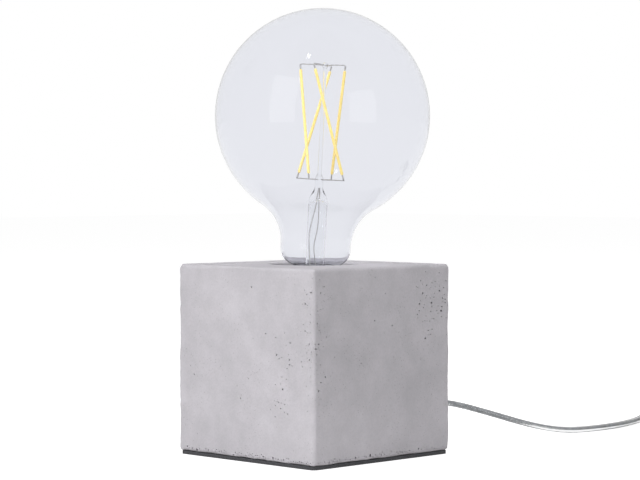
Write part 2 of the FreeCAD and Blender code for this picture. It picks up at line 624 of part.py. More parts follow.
outer = rectangle("switch_width", "switch_length", "switch_corner")
inner = rectangle("cavity_width", "cavity_length", "switch_corner - switch_wall")
spot = {"x": "switch_x", "y": "switch_y"}
base_blank = plate("base_blank", outer, "base_height", **spot)
base_hollow = plate("base_hollow", inner, "base_height", z="switch_wall", **spot)
cover_blank = plate("cover_blank", outer, "cover_height", z="base_height", **spot)
cover_hollow = plate("cover_hollow", inner, "cover_height", z="base_height - switch_wall", **spot)
window = box("window", "rocker_width + 2 * rocker_gap", "2 * (rocker_reach + 2 * rocker_gap)", "cover_height",
             z="base_height", **spot)
derive(ceiling="case_height - switch_wall", head_top="head_depth + screw_head_height")
cheeks, bosses, base_holes, cover_holes, case_screws = [], [], [], [], []
for side in ("-", ""):
    cheeks.append(box("cheek" + side.replace("-", "_left"), "cheek", "2 * cheek_half",
                      "ceiling - pin_height + cheek_half",
                      x="switch_x + %s(rocker_width / 2 + rocker_gap + cheek / 2)" % (side or "+"),
                      y="switch_y",
                      z="pin_height - cheek_half"))
    at = {"x": "switch_x", "y": "switch_y + %s(switch_length / 2 - case_screw_inset)" % (side or "+")}
    word = "near" if side else "far"
    bosses.append(rod(word + "_boss", "boss_radius", "ceiling - base_height", z="base_height", **at))
    cover_holes.append(rod(word + "_cover_hole", "case_screw + pin_gap", "cover_height / 2 + overrun",
                           z="base_height - overrun", **at))
    base_holes.append(rod(word + "_base_hole", "case_screw + pin_gap", "base_height", z="-overrun", **at))
    base_holes.append(rod(word + "_sink", "case_screw_head + pin_gap", "head_top + overrun", z="-overrun",
                          **at))
    head = rod(word + "_case_head", "case_screw_head", "screw_head_height", z="head_depth", **at)
    shank = rod(word + "_case_shank", "case_screw", "base_height + cover_height / 2 - head_top",
                z="head_top", **at)
    case_screws.append(joined(word + "_case_screw", head, shank))
pads = [rod(word + "_pad", "boss_radius + sink_floor", "head_top + sink_floor", x="switch_x",
            y="switch_y + %s(switch_length / 2 - case_screw_inset)" % sign)
        for word, sign in (("low", "-"), ("high", "+"))]
base_shell = cut("base_shell", base_blank, base_hollow)
switch_base = cut("switch_base", joined("base_and_pads", base_shell, *pads), *base_holes)
cover_shell = cut("cover_shell", cover_blank, cover_hollow, window)
pin_hole = rod("pin_hole", "pin_radius", "rocker_width + 2 * rocker_gap + 2 * cheek", z="pin_height",
               y="switch_y",
               x="switch_x - rocker_width / 2 - rocker_gap - cheek", along="X")
switch_cover = cut("switch_cover", joined("cover_and_bosses", cover_shell, *(cheeks + bosses)), pin_hole,
                   *cover_holes)
rocker_pin = rod("rocker_pin", "pin_radius", "rocker_width + 2 * rocker_gap + 2 * cheek", z="pin_height",
                 y="switch_y",
                 x="switch_x - rocker_width / 2 - rocker_gap - cheek", along="X")
rocker_blank = plate("rocker_blank", [
    ("-rocker_foot", "-rocker_low"), ("rocker_foot", "-rocker_low"),
    ("rocker_reach", "rocker_apex - rocker_reach * tan(rocker_tip * 1deg)"), ("0", "rocker_apex"),
    ("-rocker_reach", "rocker_apex - rocker_reach * tan(rocker_tip * 1deg)")],
    "rocker_width", role="YZ_Plane", midplane=True)
rocker_blank.Placement = FreeCAD.Placement(Vector(), FreeCAD.Rotation(Vector(1, 0, 0), -value("rocker_tip")))
bind(rocker_blank, x="switch_x", y="switch_y", z="pin_height")
rocker_hole = rod("rocker_hole", "pin_radius + pin_gap", "rocker_width + 2 * overrun", z="pin_height",
                  y="switch_y",
                  x="switch_x - rocker_width / 2 - overrun", along="X")
switch_rocker = cut("switch_rocker", rocker_blank, rocker_hole)
studs = [box(word + "_stud", "stud_width", "stud_length", "stud_height", x="switch_x",
             y="switch_y %s stud_offset" % sign, z="switch_wall")
         for word, sign in (("near", "-"), ("far", "+"))]
node(switch_base, switch_cover, rocker_pin, switch_rocker, group("switch_contacts", *studs))
node(group("switch_screws", *case_screws))

# Lead from the block to the switch, as the photograph shows it, and on to the coil

lead_points = [(0, 84, 23), (0, 97, 23), (4, 114, 22.2), (14, 138, 14.9), (27, 165, 6.2), (38, 184, 2.4),
               (44, 206, 2.3), (43.5, 230, 2.3), (39, 250, 2.3), (34, 266, 2.4), (31, 280, 4.2),
               (30, 291, 6), (30, 302, 6)]
lead_route = [Vector(*point) for point in lead_points]
node(tube("cord_to_switch", rounded_route("cord_to_switch", lead_route), "cord_radius"))
coil_sizes = {
    "coil_middle": 28, "coil_pitch": 6, "layer_gap": 0.5, "coil_lift": 0.7, "coil_y": 402,
    "coil_half_turns": 15
}
drive(coil_sizes)
derive(coil_low="coil_lift + cord_radius", coil_high="coil_low + 2 * cord_radius + layer_gap",
       coil_outer="coil_middle + coil_pitch * (coil_half_turns - 1) / 8", coil_x="switch_x + coil_outer")
after_points = [(30, 364, 6), (30, 375, 6), (30, 386, 3), (30, 397.4, 3)]
after_route = [Vector(*point) for point in after_points]
node(tube("cord_to_coil", rounded_route("cord_to_coil", after_route), "cord_radius"))


def coil_route():
    """Half turns in on the lower layer, a climbing half turn, and half turns out on the upper layer."""
    step, radius = value("coil_pitch") / 2, value("coil_outer")
    place = Vector(value("switch_x"), value("coil_y"), value("coil_low"))
    side, edges = 1, [Part.LineSegment(place - Vector(0, 2 * value("cord_radius"), 0), place).toShape()]
    climb = int(value("coil_half_turns")) // 2
    for turn in range(int(value("coil_half_turns"))):
        end = place + Vector(side * 2 * radius, 0, 0)
        if turn == climb:
            end.z = value("coil_high")
            rise = (end.z - place.z) / 2
            top = (place + end) * 0.5 + Vector(0, side * math.hypot(radius, rise), 0)
            edges += quarters(place, top, end, Vector(0, side, 0))
        else:
            edges.append(Part.Arc(place, (place + end) * 0.5 + Vector(0, side * radius, 0), end).toShape())
        radius += -step if turn < climb else step
        place, side = end, -side
    last = Part.LineSegment(place, place - Vector(0, 2 * value("cord_radius"), 0))
    return Part.Wire(edges + [last.toShape()])


def quarters(start, top, end, heading):
    """Two quarter turns, tangent to the heading at the start and against it at the end."""
    chord = top - start
    across = chord - heading * chord.dot(heading)
    across = across.normalize()
    radius = chord.Length / math.sqrt(2)
    first = start + across * radius + (heading - across) * (radius / math.sqrt(2))
    axis = FreeCAD.Rotation(heading, 180)
    second = top + axis.multVec(first - top)
    return [Part.Arc(start, first, top).toShape(), Part.Arc(top, second, end).toShape()]


def least_gap(route, radius):
    """The least space between the tube's stretches that lie more than a few diameters apart along it."""
    count = int(route.Length / radius)
    points = route.discretize(Number=count)
    apart = int(math.pi * value("coil_middle") / 2 / radius)
    least = min(points[one].distanceToPoint(points[two]) for one in range(count)
                for two in range(one + apart, count))
    return least - 2 * radius


coil_wire = coil_route()
print("coil gap to itself", round(least_gap(coil_wire, value("cord_radius")), 2))
coil_end = coil_wire.OrderedVertexes[-1].Point
node(tube("cord_coil", coil_wire, "cord_radius"))
tie_sizes = {"tie_sheet": 0.5, "tie_gap": 0.3, "tie_width": 5}
drive(tie_sizes)
drive({"coil_end_x": coil_end.x})
derive(tie_inner="coil_outer - coil_pitch * (coil_half_turns - 1) / 4 - cord_radius - tie_gap",
       tie_outer="coil_outer - coil_pitch / 2 + cord_radius + tie_gap",
       tie_top="coil_high + cord_radius + tie_gap", tie_middle="coil_y - (tie_inner + tie_outer) / 2",
       tie_span="tie_outer - tie_inner", tie_height="tie_top - tie_sheet", tie_x="coil_x + coil_pitch / 2")
tie_blank = box("tie_blank", "tie_width", "tie_span + 2 * tie_sheet", "tie_height + 2 * tie_sheet",
                x="tie_x", y="tie_middle")
tie_inside = box("tie_inside", "tie_width + 2 * overrun", "tie_span", "tie_height",
                 x="tie_x", y="tie_middle", z="tie_sheet")
node(cut("cord_tie", tie_blank, tie_inside))

# Two-pin plug beside the coil, lying flat

to_plug_points = [(113, 397.4, 8.1), (113, 387, 8.1), (113, 376, 7.2), (113, 365.5, 7.2)]
to_plug_route = [Vector(*point) for point in to_plug_points]
node(tube("cord_to_plug", rounded_route("cord_to_plug", to_plug_route), "cord_radius"))
plug_sizes = {
    "relief_start": 365.5, "relief_length": 22, "relief_tip": 3.1, "relief_neck": 5, "plug_length": 36,
    "plug_width": 35, "plug_thickness": 14.4, "plug_corner": 9, "plug_round": 3.5, "pin_spacing": 18.6,
    "pin_contact": 2, "pin_sleeve": 1.8, "pin_core": 1.5, "sleeve_length": 9, "pin_length": 19,
    "pin_depth": 8, "sleeve_gap": 0.02
}
drive(plug_sizes)
derive(plug_face="relief_start - relief_length - plug_length", plug_axis="plug_thickness / 2")
plug_blank = plate("plug_blank", rectangle("plug_width", "plug_length", "plug_corner"), "plug_thickness",
                   x="coil_end_x", y="plug_face + plug_length / 2")
plug_soft = rounded("plug_soft", plug_blank, "plug_round", lambda edge: lies_at(edge, "0", "plug_thickness"))
relief = turned("plug_relief", [
    ("0", "0"), ("relief_neck", "0"), ("relief_tip", "relief_length"), ("0", "relief_length")])
relief.Placement = FreeCAD.Placement(Vector(), FreeCAD.Rotation(Vector(1, 0, 0), -90))
bind(relief, x="coil_end_x", y="relief_start - relief_length", z="plug_axis")
pin_holes, pins, sleeves = [], [], []
for word, sign in (("left", "-"), ("right", "+")):
    across = "coil_end_x %s pin_spacing / 2" % sign
    at = {"x": across, "z": "plug_axis", "along": "Y"}
    pin_holes.append(rod(word + "_pin_hole", "pin_core + sleeve_gap", "pin_depth + overrun",
                         y="plug_face - overrun", **at))
    core = rod(word + "_core_pin", "pin_core", "sleeve_length + pin_depth", y="plug_face - sleeve_length",
               **at)
    tip_blank = rod(word + "_tip", "pin_contact", "pin_length - sleeve_length", y="plug_face - pin_length",
                    **at)
    pins.append(joined(word + "_pin", core, tip_blank))
    skin = rod(word + "_skin", "pin_sleeve", "sleeve_length", y="plug_face - sleeve_length", **at)
    bore = rod(word + "_skin_bore", "pin_core + sleeve_gap", "sleeve_length + 2 * overrun",
               y="plug_face - sleeve_length - overrun", **at)
    sleeves.append(cut(word + "_sleeve", skin, bore))
node(cut("plug_body", plug_soft, *pin_holes), relief)
node(group("plug_pins", *pins), group("plug_sleeves", *sleeves))

# Check and write

doc.recompute()
failed = [thing.Label for thing in doc.Objects if "Invalid" in thing.State or "Error" in thing.State]
failed += [piece.Label for piece in nodes if piece.Shape.isNull() or not piece.Shape.isValid()]
if failed:
    raise RuntimeError("these pieces failed: " + ", ".join(failed))
os.makedirs("parts", exist_ok=True)
for piece in nodes:
    piece.Shape.exportStep("parts/%s.step" % piece.Label)
print(len(nodes), "pieces")
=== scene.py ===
import math
import random
import bmesh
import bpy
from mathutils import Matrix, Vector, noise as field


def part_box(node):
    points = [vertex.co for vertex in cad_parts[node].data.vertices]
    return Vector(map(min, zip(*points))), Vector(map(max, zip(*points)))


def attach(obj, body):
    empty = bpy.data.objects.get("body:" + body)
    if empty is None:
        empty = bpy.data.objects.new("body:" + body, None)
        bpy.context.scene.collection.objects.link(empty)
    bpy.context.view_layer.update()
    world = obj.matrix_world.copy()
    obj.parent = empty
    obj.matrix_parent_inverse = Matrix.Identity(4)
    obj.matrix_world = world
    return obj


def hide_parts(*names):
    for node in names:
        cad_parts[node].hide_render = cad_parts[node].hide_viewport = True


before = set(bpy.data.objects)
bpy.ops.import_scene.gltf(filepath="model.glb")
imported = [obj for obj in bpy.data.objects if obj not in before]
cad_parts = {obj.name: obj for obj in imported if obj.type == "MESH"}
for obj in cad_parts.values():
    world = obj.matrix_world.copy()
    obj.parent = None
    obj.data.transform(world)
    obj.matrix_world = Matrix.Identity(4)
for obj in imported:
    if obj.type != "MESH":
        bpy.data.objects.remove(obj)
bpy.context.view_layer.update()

# Camera
# The photograph looks at the block's front edge from a little above its top, with a long lens.
# Its place comes from the block's corners and the globe's width in the picture.

image_width = 640
focal_pixels = 2276
sensor_width = 36
nearest_seen = 0.05
camera_distance = 1.3254
camera_height = 0.1629
camera_right = 0.0034
camera_turn = math.radians(45)
camera_dip = math.radians(1.651)
back = Vector((math.sin(camera_turn), -math.cos(camera_turn), 0))
right = Vector((math.cos(camera_turn), math.sin(camera_turn), 0))
lens = bpy.data.cameras.new("camera")
lens.sensor_width = sensor_width
lens.lens = sensor_width * focal_pixels / image_width
lens.clip_start = nearest_seen
camera = bpy.data.objects.new("camera", lens)
camera.location = back * camera_distance + right * camera_right + Vector((0, 0, camera_height))
camera.rotation_euler = (math.pi / 2 - camera_dip, 0, camera_turn)
bpy.context.collection.objects.link(camera)
bpy.context.scene.camera = camera
bpy.context.scene.view_settings.view_transform = "Standard"


# Lead
# Clear flat twin lead: two bundles of tinned strands side by side in one flat clear sheath.
# It leaves the back of the block, comes down to the table and runs to the in-line switch.

sheath_width = 0.0056
sheath_height = 0.0036
sheath_waist = 0.0003
route_steps = 12
bundle_radius = 0.00072
bundle_lobes, lobe_depth = 9, 0.16
bundle_spread = 0.00138
bundle_rise = 0.0006
bundle_pitch = 0.018
lead_route = [(0, 0.084, 0.023), (0, 0.097, 0.023), (0.004, 0.114, 0.0222), (0.014, 0.138, 0.0149),
              (0.027, 0.165, 0.0057), (0.038, 0.184, 0.0018), (0.044, 0.206, 0.0018), (0.0435, 0.230, 0.0018),
              (0.039, 0.250, 0.0018), (0.034, 0.266, 0.0019), (0.031, 0.280, 0.0038), (0.030, 0.291, 0.006),
              (0.030, 0.302, 0.006)]


def placed(name, mesh):
    """A mesh as an object of the scene."""
    piece = bpy.data.objects.new(name, mesh)
    bpy.context.collection.objects.link(piece)
    return piece


def added(name, build):
    """Turns finished mesh work into an object of the scene."""
    bmesh.ops.recalc_face_normals(build, faces=build.faces)
    mesh = bpy.data.meshes.new(name)
    build.to_mesh(mesh)
    build.free()
    return placed(name, mesh)


def smooth_curve(name, places, steps):
    """A smooth spline through a route's neighbourhood."""
    curve = bpy.data.curves.new(name, "CURVE")
    curve.dimensions = "3D"
    spline = curve.splines.new("NURBS")
    spline.points.add(len(places) - 1)
    for point, place in zip(spline.points, places):
        point.co = (*place, 1)
    spline.order_u = 3
    spline.use_endpoint_u = True
    spline.resolution_u = steps
    return curve


def mesh_of(curve):
    """The mesh that a curve makes."""
    holder = bpy.data.objects.new(curve.name, curve)
    mesh = bpy.data.meshes.new_from_object(holder)
    bpy.data.objects.remove(holder)
    return mesh


def spline_points(route):
    """The points along a route's smooth spline."""
    mesh = mesh_of(smooth_curve("route", route, route_steps))
    line = [vertex.co.copy() for vertex in mesh.vertices]
    bpy.data.meshes.remove(mesh)
    return line


def sweep(name, line, section, across=0, rise=0, pitch=math.inf):
    """A closed tube beside and above a line; its section turns once in each pitch of length."""
    build = bmesh.new()
    rings = []
    gone = 0
    for index, place in enumerate(line):
        gone += (place - line[index - 1]).length if index else 0
        ahead = line[min(index + 1, len(line) - 1)] - line[max(index - 1, 0)]
        side = ahead.cross(Vector((0, 0, 1))).normalized()
        high = side.cross(ahead).normalized()
        middle = place + side * across + high * rise
        cosine, sine = math.cos(2 * math.pi * gone / pitch), math.sin(2 * math.pi * gone / pitch)
        rings.append([build.verts.new(middle + side * (a * cosine - b * sine) + high * (a * sine + b * cosine))
                      for a, b in section])
    count = len(section)
    for one, two in zip(rings, rings[1:]):
        for step in range(count):
            build.faces.new((one[step], one[(step + 1) % count], two[(step + 1) % count], two[step]))
    build.faces.new(rings[0][::-1])
    build.faces.new(rings[-1])
    piece = added(name, build)
    for face in piece.data.polygons:
        face.use_smooth = len(face.vertices) == 4
    return piece


def flat_section(steps=10):
    """The sheath seen end on: half round ends joined by nearly flat sides that dip a little at the middle."""
    radius = sheath_height / 2
    offset = sheath_width / 2 - radius
    points = []
    for side in (1, -1):
        for step in range(steps + 1):
            angle = -math.pi / 2 + math.pi * step / steps + (0 if side == 1 else math.pi)
            points.append((side * offset + radius * math.cos(angle), radius * math.sin(angle)))
        points.append((0, side * (radius - sheath_waist)))
    return points


def lobed_section(steps=3):
    """A bundle of strands seen end on: a round with shallow lobes."""
    points = []
    for step in range(bundle_lobes * steps):
        angle = 2 * math.pi * step / (bundle_lobes * steps)
        reach = bundle_radius * (1 - lobe_depth * abs(math.sin(bundle_lobes * angle / 2)) ** 2)
        points.append((reach * math.cos(angle), reach * math.sin(angle)))
    return points


def surface(name):
    """A new material with its main shader: (material, nodes, links, shader)."""
    material = bpy.data.materials.new(name)
    material.use_nodes = True
    nodes = material.node_tree.nodes
    return material, nodes, material.node_tree.links, nodes["Principled BSDF"]


def noise(nodes, links, scale, detail=4, stretch=(1, 1, 1), roughness=0.55):
    """Noise fixed to the object, in cycles a metre, that can be stretched along its axes."""
    place = nodes.new("ShaderNodeTexCoord")
    mapping = nodes.new("ShaderNodeMapping")
    mapping.inputs["Scale"].default_value = stretch
    texture = nodes.new("ShaderNodeTexNoise")
    texture.inputs["Scale"].default_value = scale
    texture.inputs["Detail"].default_value = detail
    texture.inputs["Roughness"].default_value = roughness
    links.new(place.outputs["Object"], mapping.inputs["Vector"])
    links.new(mapping.outputs["Vector"], texture.inputs["Vector"])
    return texture.outputs["Fac"]


def spread(nodes, links, value, stops):
    """A colour ramp over a value; each stop is (place, colour)."""
    ramp = nodes.new("ShaderNodeValToRGB")
    for number, (place, colour) in enumerate(stops):
        if number < 2:
            stop = ramp.color_ramp.elements[number]
            stop.position = place
        else:
            stop = ramp.color_ramp.elements.new(place)
        stop.color = (*colour, 1)
    links.new(value, ramp.inputs["Fac"])
    return ramp.outputs["Color"]


def rough_between(nodes, links, shader, value, low, high):
    """Varies the roughness between two levels by a value."""
    levels = nodes.new("ShaderNodeMapRange")
    levels.inputs["To Min"].default_value = low
    levels.inputs["To Max"].default_value = high
    links.new(value, levels.inputs["Value"])
    links.new(levels.outputs["Result"], shader.inputs["Roughness"])


def bumped(nodes, links, shader, height, strength, distance):
    """Lets a height value bend the shader's normal."""
    bump = nodes.new("ShaderNodeBump")
    bump.inputs["Strength"].default_value = strength
    bump.inputs["Distance"].default_value = distance
    links.new(height, bump.inputs["Height"])
    links.new(bump.outputs["Normal"], shader.inputs["Normal"])


def clear(name, tint, index, scale, detail, rough, bump):
    """A see-through material of one tint whose gloss and relief follow one noise; bump is (strength, distance)."""
    material, nodes, links, shader = surface(name)
    shader.inputs["Base Color"].default_value = (*tint, 1)
    shader.inputs["Transmission Weight"].default_value = 1
    shader.inputs["IOR"].default_value = index
    waves = noise(nodes, links, scale, detail)
    rough_between(nodes, links, shader, waves, *rough)
    bumped(nodes, links, shader, waves, *bump)
    return material


def mottled(name, scale, tones, rough, bump=None, detail=4, stretch=(1, 1, 1), stops=(0.3, 0.7), more=None):
    """A material whose tones, gloss and relief follow one noise; more holds settings by the shader's own names."""
    material, nodes, links, shader = surface(name)
    for setting, level in (more or {}).items():
        shader.inputs[setting].default_value = level
    pattern = noise(nodes, links, scale, detail, stretch)
    links.new(spread(nodes, links, pattern, list(zip(stops, tones))), shader.inputs["Base Color"])
    rough_between(nodes, links, shader, pattern, *rough)
    if bump:
        bumped(nodes, links, shader, pattern, *bump)
    return material


clear_sheath = clear("clear_sheath", (0.97, 0.975, 0.98), index=1.5, scale=700, detail=3, rough=(0.02, 0.09),
                     bump=(0.08, 0.0002))
tinned_strands = mottled("tinned_strands", 420, [(0.24, 0.25, 0.26), (0.44, 0.45, 0.47)], rough=(0.28, 0.5),
                         detail=5, more={"Metallic": 1})


def twin_lead(name, route, **facts):
    """Sheath and two bundles along a route, riding on the lamp."""
    line = spline_points(route)
    sheath = sweep(name, line, flat_section())
    sheath.data.materials.append(clear_sheath)
    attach(sheath, "lamp_body")
    for side, word in ((-1, "left"), (1, "right")):
        bundle = sweep(name + "_strands_" + word, line, lobed_section(), side * bundle_spread, bundle_rise,
                       bundle_pitch)
        bundle.data.materials.append(tinned_strands)
        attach(bundle, "lamp_body")
    return sheath


lead = twin_lead("lead_to_switch", lead_route, far_end="fitting", stiffness="medium", lay="loose",
                 with_pieces=[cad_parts[name] for name in
                              ("switch_base", "switch_cover", "rocker_pin", "switch_rocker", "switch_screws")])
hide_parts("cord_to_switch")

# Coil and last stretch of lead
# The length that the photograph doesn't show is put away: seven and a half turns in two layers, tied with a
# band. The lead leaves the far end of the switch, goes round the coil and ends in the plug's strain relief.

coil_x, coil_y = 0.0685, 0.402
coil_radius, coil_step, coil_halves = 0.0385, 0.003, 15
coil_low, coil_high = 0.0025, 0.0063
points_a_half = 12
to_coil = [(0.030, 0.364, 0.006), (0.030, 0.375, 0.0057), (0.030, 0.386, 0.0027), (0.030, 0.396, 0.0025)]
to_plug = [(0.113, 0.397, 0.0063), (0.113, 0.387, 0.0065), (0.113, 0.376, 0.0071), (0.113, 0.3655, 0.0072)]


def coil_turns():
    """Half turns that shrink on the lower layer, climb at the middle and grow again on the upper layer."""
    start = coil_x - coil_radius
    side, radius, places = 1, coil_radius, []
    climb = coil_halves // 2
    for half in range(coil_halves):
        centre = start + side * radius
        for step in range(points_a_half):
            share = step / points_a_half
            angle = math.pi * share
            height = coil_high if half > climb else coil_low
            if half == climb:
                height = coil_low + (coil_high - coil_low) * (1 - math.cos(angle)) / 2
            reach = side * radius
            places.append((centre - reach * math.cos(angle), coil_y + reach * math.sin(angle), height))
        start, side = centre + side * radius, -side
        radius += -coil_step if half < climb else coil_step
    return places + [(start, coil_y, coil_high)]


coil = twin_lead("lead_coil", to_coil + coil_turns() + to_plug, far_end="plug", stiffness="medium", lay="coiled",
                 with_pieces=[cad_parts[name] for name in
                              ("plug_body", "plug_relief", "plug_pins", "plug_sleeves", "cord_tie")])
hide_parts("cord_to_coil", "cord_coil", "cord_to_plug")


# Concrete block
# One casting of fine grey concrete with rounded, slightly crumbled edges, air-bubble pits and cloudy colour.
# It is cast with the round recess for the lamp holder, a hollow underneath and a hole at the back for the lead.

block_low, block_high = [Vector(corner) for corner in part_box("concrete_block")]
block_middle = (block_low + block_high) / 2
block_half = (block_high - block_low) / 2
edge_radius = 0.0024
edge_places = (0, 0.0005, 0.0010, 0.0015, 0.0021, 0.0028, 0.0037, 0.0050, 0.0068)
edge_wear, edge_waves = 0.4, 95
edge_crumble, crumble_waves = 0.3, 260
face_cell = 0.0028
face_sink = 0.00014
face_ripple, ripple_waves = 0.00008, 70
face_grit, grit_waves = 0.00004, 400
wave_shift = Vector((7.3, 1.9, 4.1))
merge_distance = 0.000002
recess_radius = 0.026
recess_floor = 0.052
recess_lip = 0.0012
web_underside = 0.042
web_hole = 0.00525
web_hole_ends = (0.03, 0.06)
cavity_half = 0.042
cavity_corner = 0.008
lead_hole = 0.006
lead_hole_ends = (0.036, 0.060)
lead_hole_height = 0.023
cut_overrun = 0.001

# Each cluster of pits: the face's axis and side, the middle and reach as shares of the half block, how many
# there are and their mean radius.

pit_clusters = [(0, 1, (0.74, 0.62), (0.13, 0.20), 84, 0.00040), (0, 1, (-0.92, 0.32), (0.04, 0.36), 44, 0.00038),
                (1, -1, (0.92, 0.32), (0.04, 0.36), 44, 0.00038), (1, -1, (0.50, -0.42), (0.06, 0.05), 16, 0.00042),
                (1, -1, (0.60, -0.02), (0.08, 0.20), 22, 0.00042), (1, -1, (-0.80, -0.05), (0.05, 0.12), 8, 0.00038),
                (0, 1, (0, -0.962), (0.5, 0.010), 70, 0.00046), (1, -1, (0, -0.962), (0.5, 0.010), 70, 0.00046),
                (0, 1, (0, 0), (0.6, 0.6), 18, 0.00036), (1, -1, (0, 0), (0.6, 0.6), 16, 0.00036),
                (0, -1, (0, 0), (0.6, 0.6), 26, 0.00040), (1, 1, (0, 0), (0.6, 0.6), 26, 0.00040),
                (2, 1, (0, 0), (0.7, 0.7), 16, 0.00036)]
largest_pit = 0.0011
even_share, odd_share = 0.9, 0.35
pit_sink = (0.5, 0.8)
pit_stretch = (0.75, 1.2)
pit_from_edge = 0.0006
pit_from_recess = 0.004
pit_spacing = 1.5


def field_at(place, waves):
    """Smooth noise at a place, with so many waves a metre."""
    return field.noise(place * waves + wave_shift)


def grid_lines(half):
    """Places across a face: close together at the edges, then even."""
    inner = half - edge_places[-1]
    count = round(2 * inner / face_cell)
    middle = [-inner + 2 * inner * step / count for step in range(1, count)]
    return [place - half for place in edge_places] + middle + [half - place for place in edge_places[::-1]]


def weathered(place, depth=0):
    """A point of the sharp block moved to the worn one, with rounded edges and uneven faces, or as deep under it."""
    wear = edge_radius * (1 + edge_wear * field_at(place, edge_waves)
                          + edge_crumble * field_at(place, crumble_waves))
    core = Vector([max(wear - half, min(half - wear, axis)) for axis, half in zip(place, block_half)])
    away = (place - core).normalized()
    ripple = face_ripple * field_at(place, ripple_waves) + face_grit * field_at(place, grit_waves) - face_sink
    return core + away * (wear + ripple - depth)


def worn_block(name):
    """Six gridded faces joined into one closed block."""
    build = bmesh.new()
    for axis in range(3):
        one, two = (axis + 1) % 3, (axis + 2) % 3
        for sign in (-1, 1):
            rows = []
            for first in grid_lines(block_half[one]):
                place = Vector()
                place[axis], place[one] = sign * block_half[axis], first
                row = []
                for second in grid_lines(block_half[two]):
                    place[two] = second
                    row.append(build.verts.new(weathered(place)))
                rows.append(row)
            for low, high in zip(rows, rows[1:]):
                for step in range(len(low) - 1):
                    build.faces.new((low[step], high[step], high[step + 1], low[step + 1]))
    bmesh.ops.remove_doubles(build, verts=build.verts, dist=merge_distance)
    bmesh.ops.translate(build, verts=build.verts, vec=block_middle)
    return added(name, build)


def lathe(name, profile, segments=96, closed=True, on_axis=1e-7):
    """A turned body: the profile of (radius, height) points goes round the upright axis."""
    build = bmesh.new()
    turn = 2 * math.pi / segments
    rings = []
    for radius, height in profile:
        count = segments if radius > on_axis else 1
        rings.append([build.verts.new((radius * math.cos(turn * step), radius * math.sin(turn * step), height))
                      for step in range(count)])
    pairs = list(zip(rings, rings[1:])) + ([(rings[-1], rings[0])] if closed else [])
    for one, two in pairs:
        for step in range(segments):
            corners = [one[step % len(one)], one[(step + 1) % len(one)],
                       two[(step + 1) % len(two)], two[step % len(two)]]
            corners = list(dict.fromkeys(corners))
            if len(corners) > 2:
                build.faces.new(corners)
    return added(name, build)


def arc(centre, radius, first, last, steps):
    """Points on an arc in the half section, from one angle to another, in degrees."""
    angles = [math.radians(first + (last - first) * step / steps) for step in range(steps + 1)]
    return [(centre[0] + radius * math.cos(angle), centre[1] + radius * math.sin(angle)) for angle in angles]


def rod(name, radius, low, high):
    """A plain upright cylinder on the axis."""
    return lathe(name, [(0, low), (radius, low), (radius, high), (0, high)], segments=48, closed=False)


def lying(piece, x, y, z):
    """Lays a piece made upright at the origin along Y, from a place."""
    piece.data.transform(Matrix.Translation((x, y, z)) @ Matrix.Rotation(-math.pi / 2, 4, "X"))
    return piece


def soften(piece, angle=32):
    """Smooth shading, with edges left sharp where faces meet at more than the angle."""
    build = bmesh.new()
    build.from_mesh(piece.data)
    for face in build.faces:
        face.smooth = True
    for edge in build.edges:
        edge.smooth = len(edge.link_faces) == 2 and edge.calc_face_angle(0) < math.radians(angle)
    build.to_mesh(piece.data)
    build.free()
    return piece


def carve(piece, *cutters):
    """Cuts closed meshes out of a piece and removes the cutters."""
    for cutter in cutters:
        boolean = piece.modifiers.new("cut", "BOOLEAN")
        boolean.operation = "DIFFERENCE"
        boolean.solver = "EXACT"
        boolean.object = cutter
        mesh = bpy.data.meshes.new_from_object(piece.evaluated_get(bpy.context.evaluated_depsgraph_get()))
        piece.modifiers.clear()
        piece.data = mesh
        bpy.data.objects.remove(cutter)


def cuboid(name, low, high, corner, segments=6):
    """A box between two corners, with its upright edges rounded."""
    build = bmesh.new()
    bmesh.ops.create_cube(build, size=2)
    for vertex in build.verts:
        vertex.co = Vector([(a + b) / 2 + (b - a) / 2 * sign for a, b, sign in zip(low, high, vertex.co)])
    upright = [edge for edge in build.edges if edge.verts[0].co.xy == edge.verts[1].co.xy]
    bmesh.ops.bevel(build, geom=upright, offset=corner, segments=segments, affect="EDGES", profile=0.5)
    return added(name, build)


def pit_places(seed=11):
    """Bubbles in the clusters that the photograph shows, and scattered ones on every face: (middle, radius)."""
    dice = random.Random(seed)
    spots = []
    for axis, sign, middle, reach, count, mean in pit_clusters:
        others = [step for step in range(3) if step != axis]
        missing = count
        while missing:
            place = Vector()
            place[axis] = sign * block_half[axis]
            for other, share, width in zip(others, middle, reach):
                place[other] = block_half[other] * dice.gauss(share, width)
            radius = min(largest_pit, even_share * mean + dice.expovariate(1 / (odd_share * mean)))
            spot = weathered(place, radius * dice.uniform(*pit_sink))
            off_face = any(abs(place[other]) > block_half[other] - pit_from_edge for other in others)
            in_recess = axis == 2 and place.xy.length < recess_radius + pit_from_recess
            near_pit = any((spot - other).length < pit_spacing * (radius + size) for other, size in spots)
            if not (off_face or in_recess or near_pit):
                spots.append((spot, radius))
                missing -= 1
    return spots


def bubbles(name, spots, seed=5):
    """Rounded lumps that cut pits where they stand under a face."""
    dice = random.Random(seed)
    build = bmesh.new()
    for place, radius in spots:
        made = bmesh.ops.create_icosphere(build, subdivisions=2, radius=radius)
        stretch = Vector([dice.uniform(*pit_stretch) for axis in range(3)])
        for vertex in made["verts"]:
            vertex.co = block_middle + place + vertex.co * stretch
    return added(name, build)


def fitted(piece, material, slot_name, body, *nodes_replaced):
    """Gives a finished piece its material and body, and hides the solids that it stands for; slot_name is not used.
    """
    piece.data.materials.clear()
    piece.data.materials.append(material)
    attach(piece, body)
    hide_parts(*nodes_replaced)
    return piece


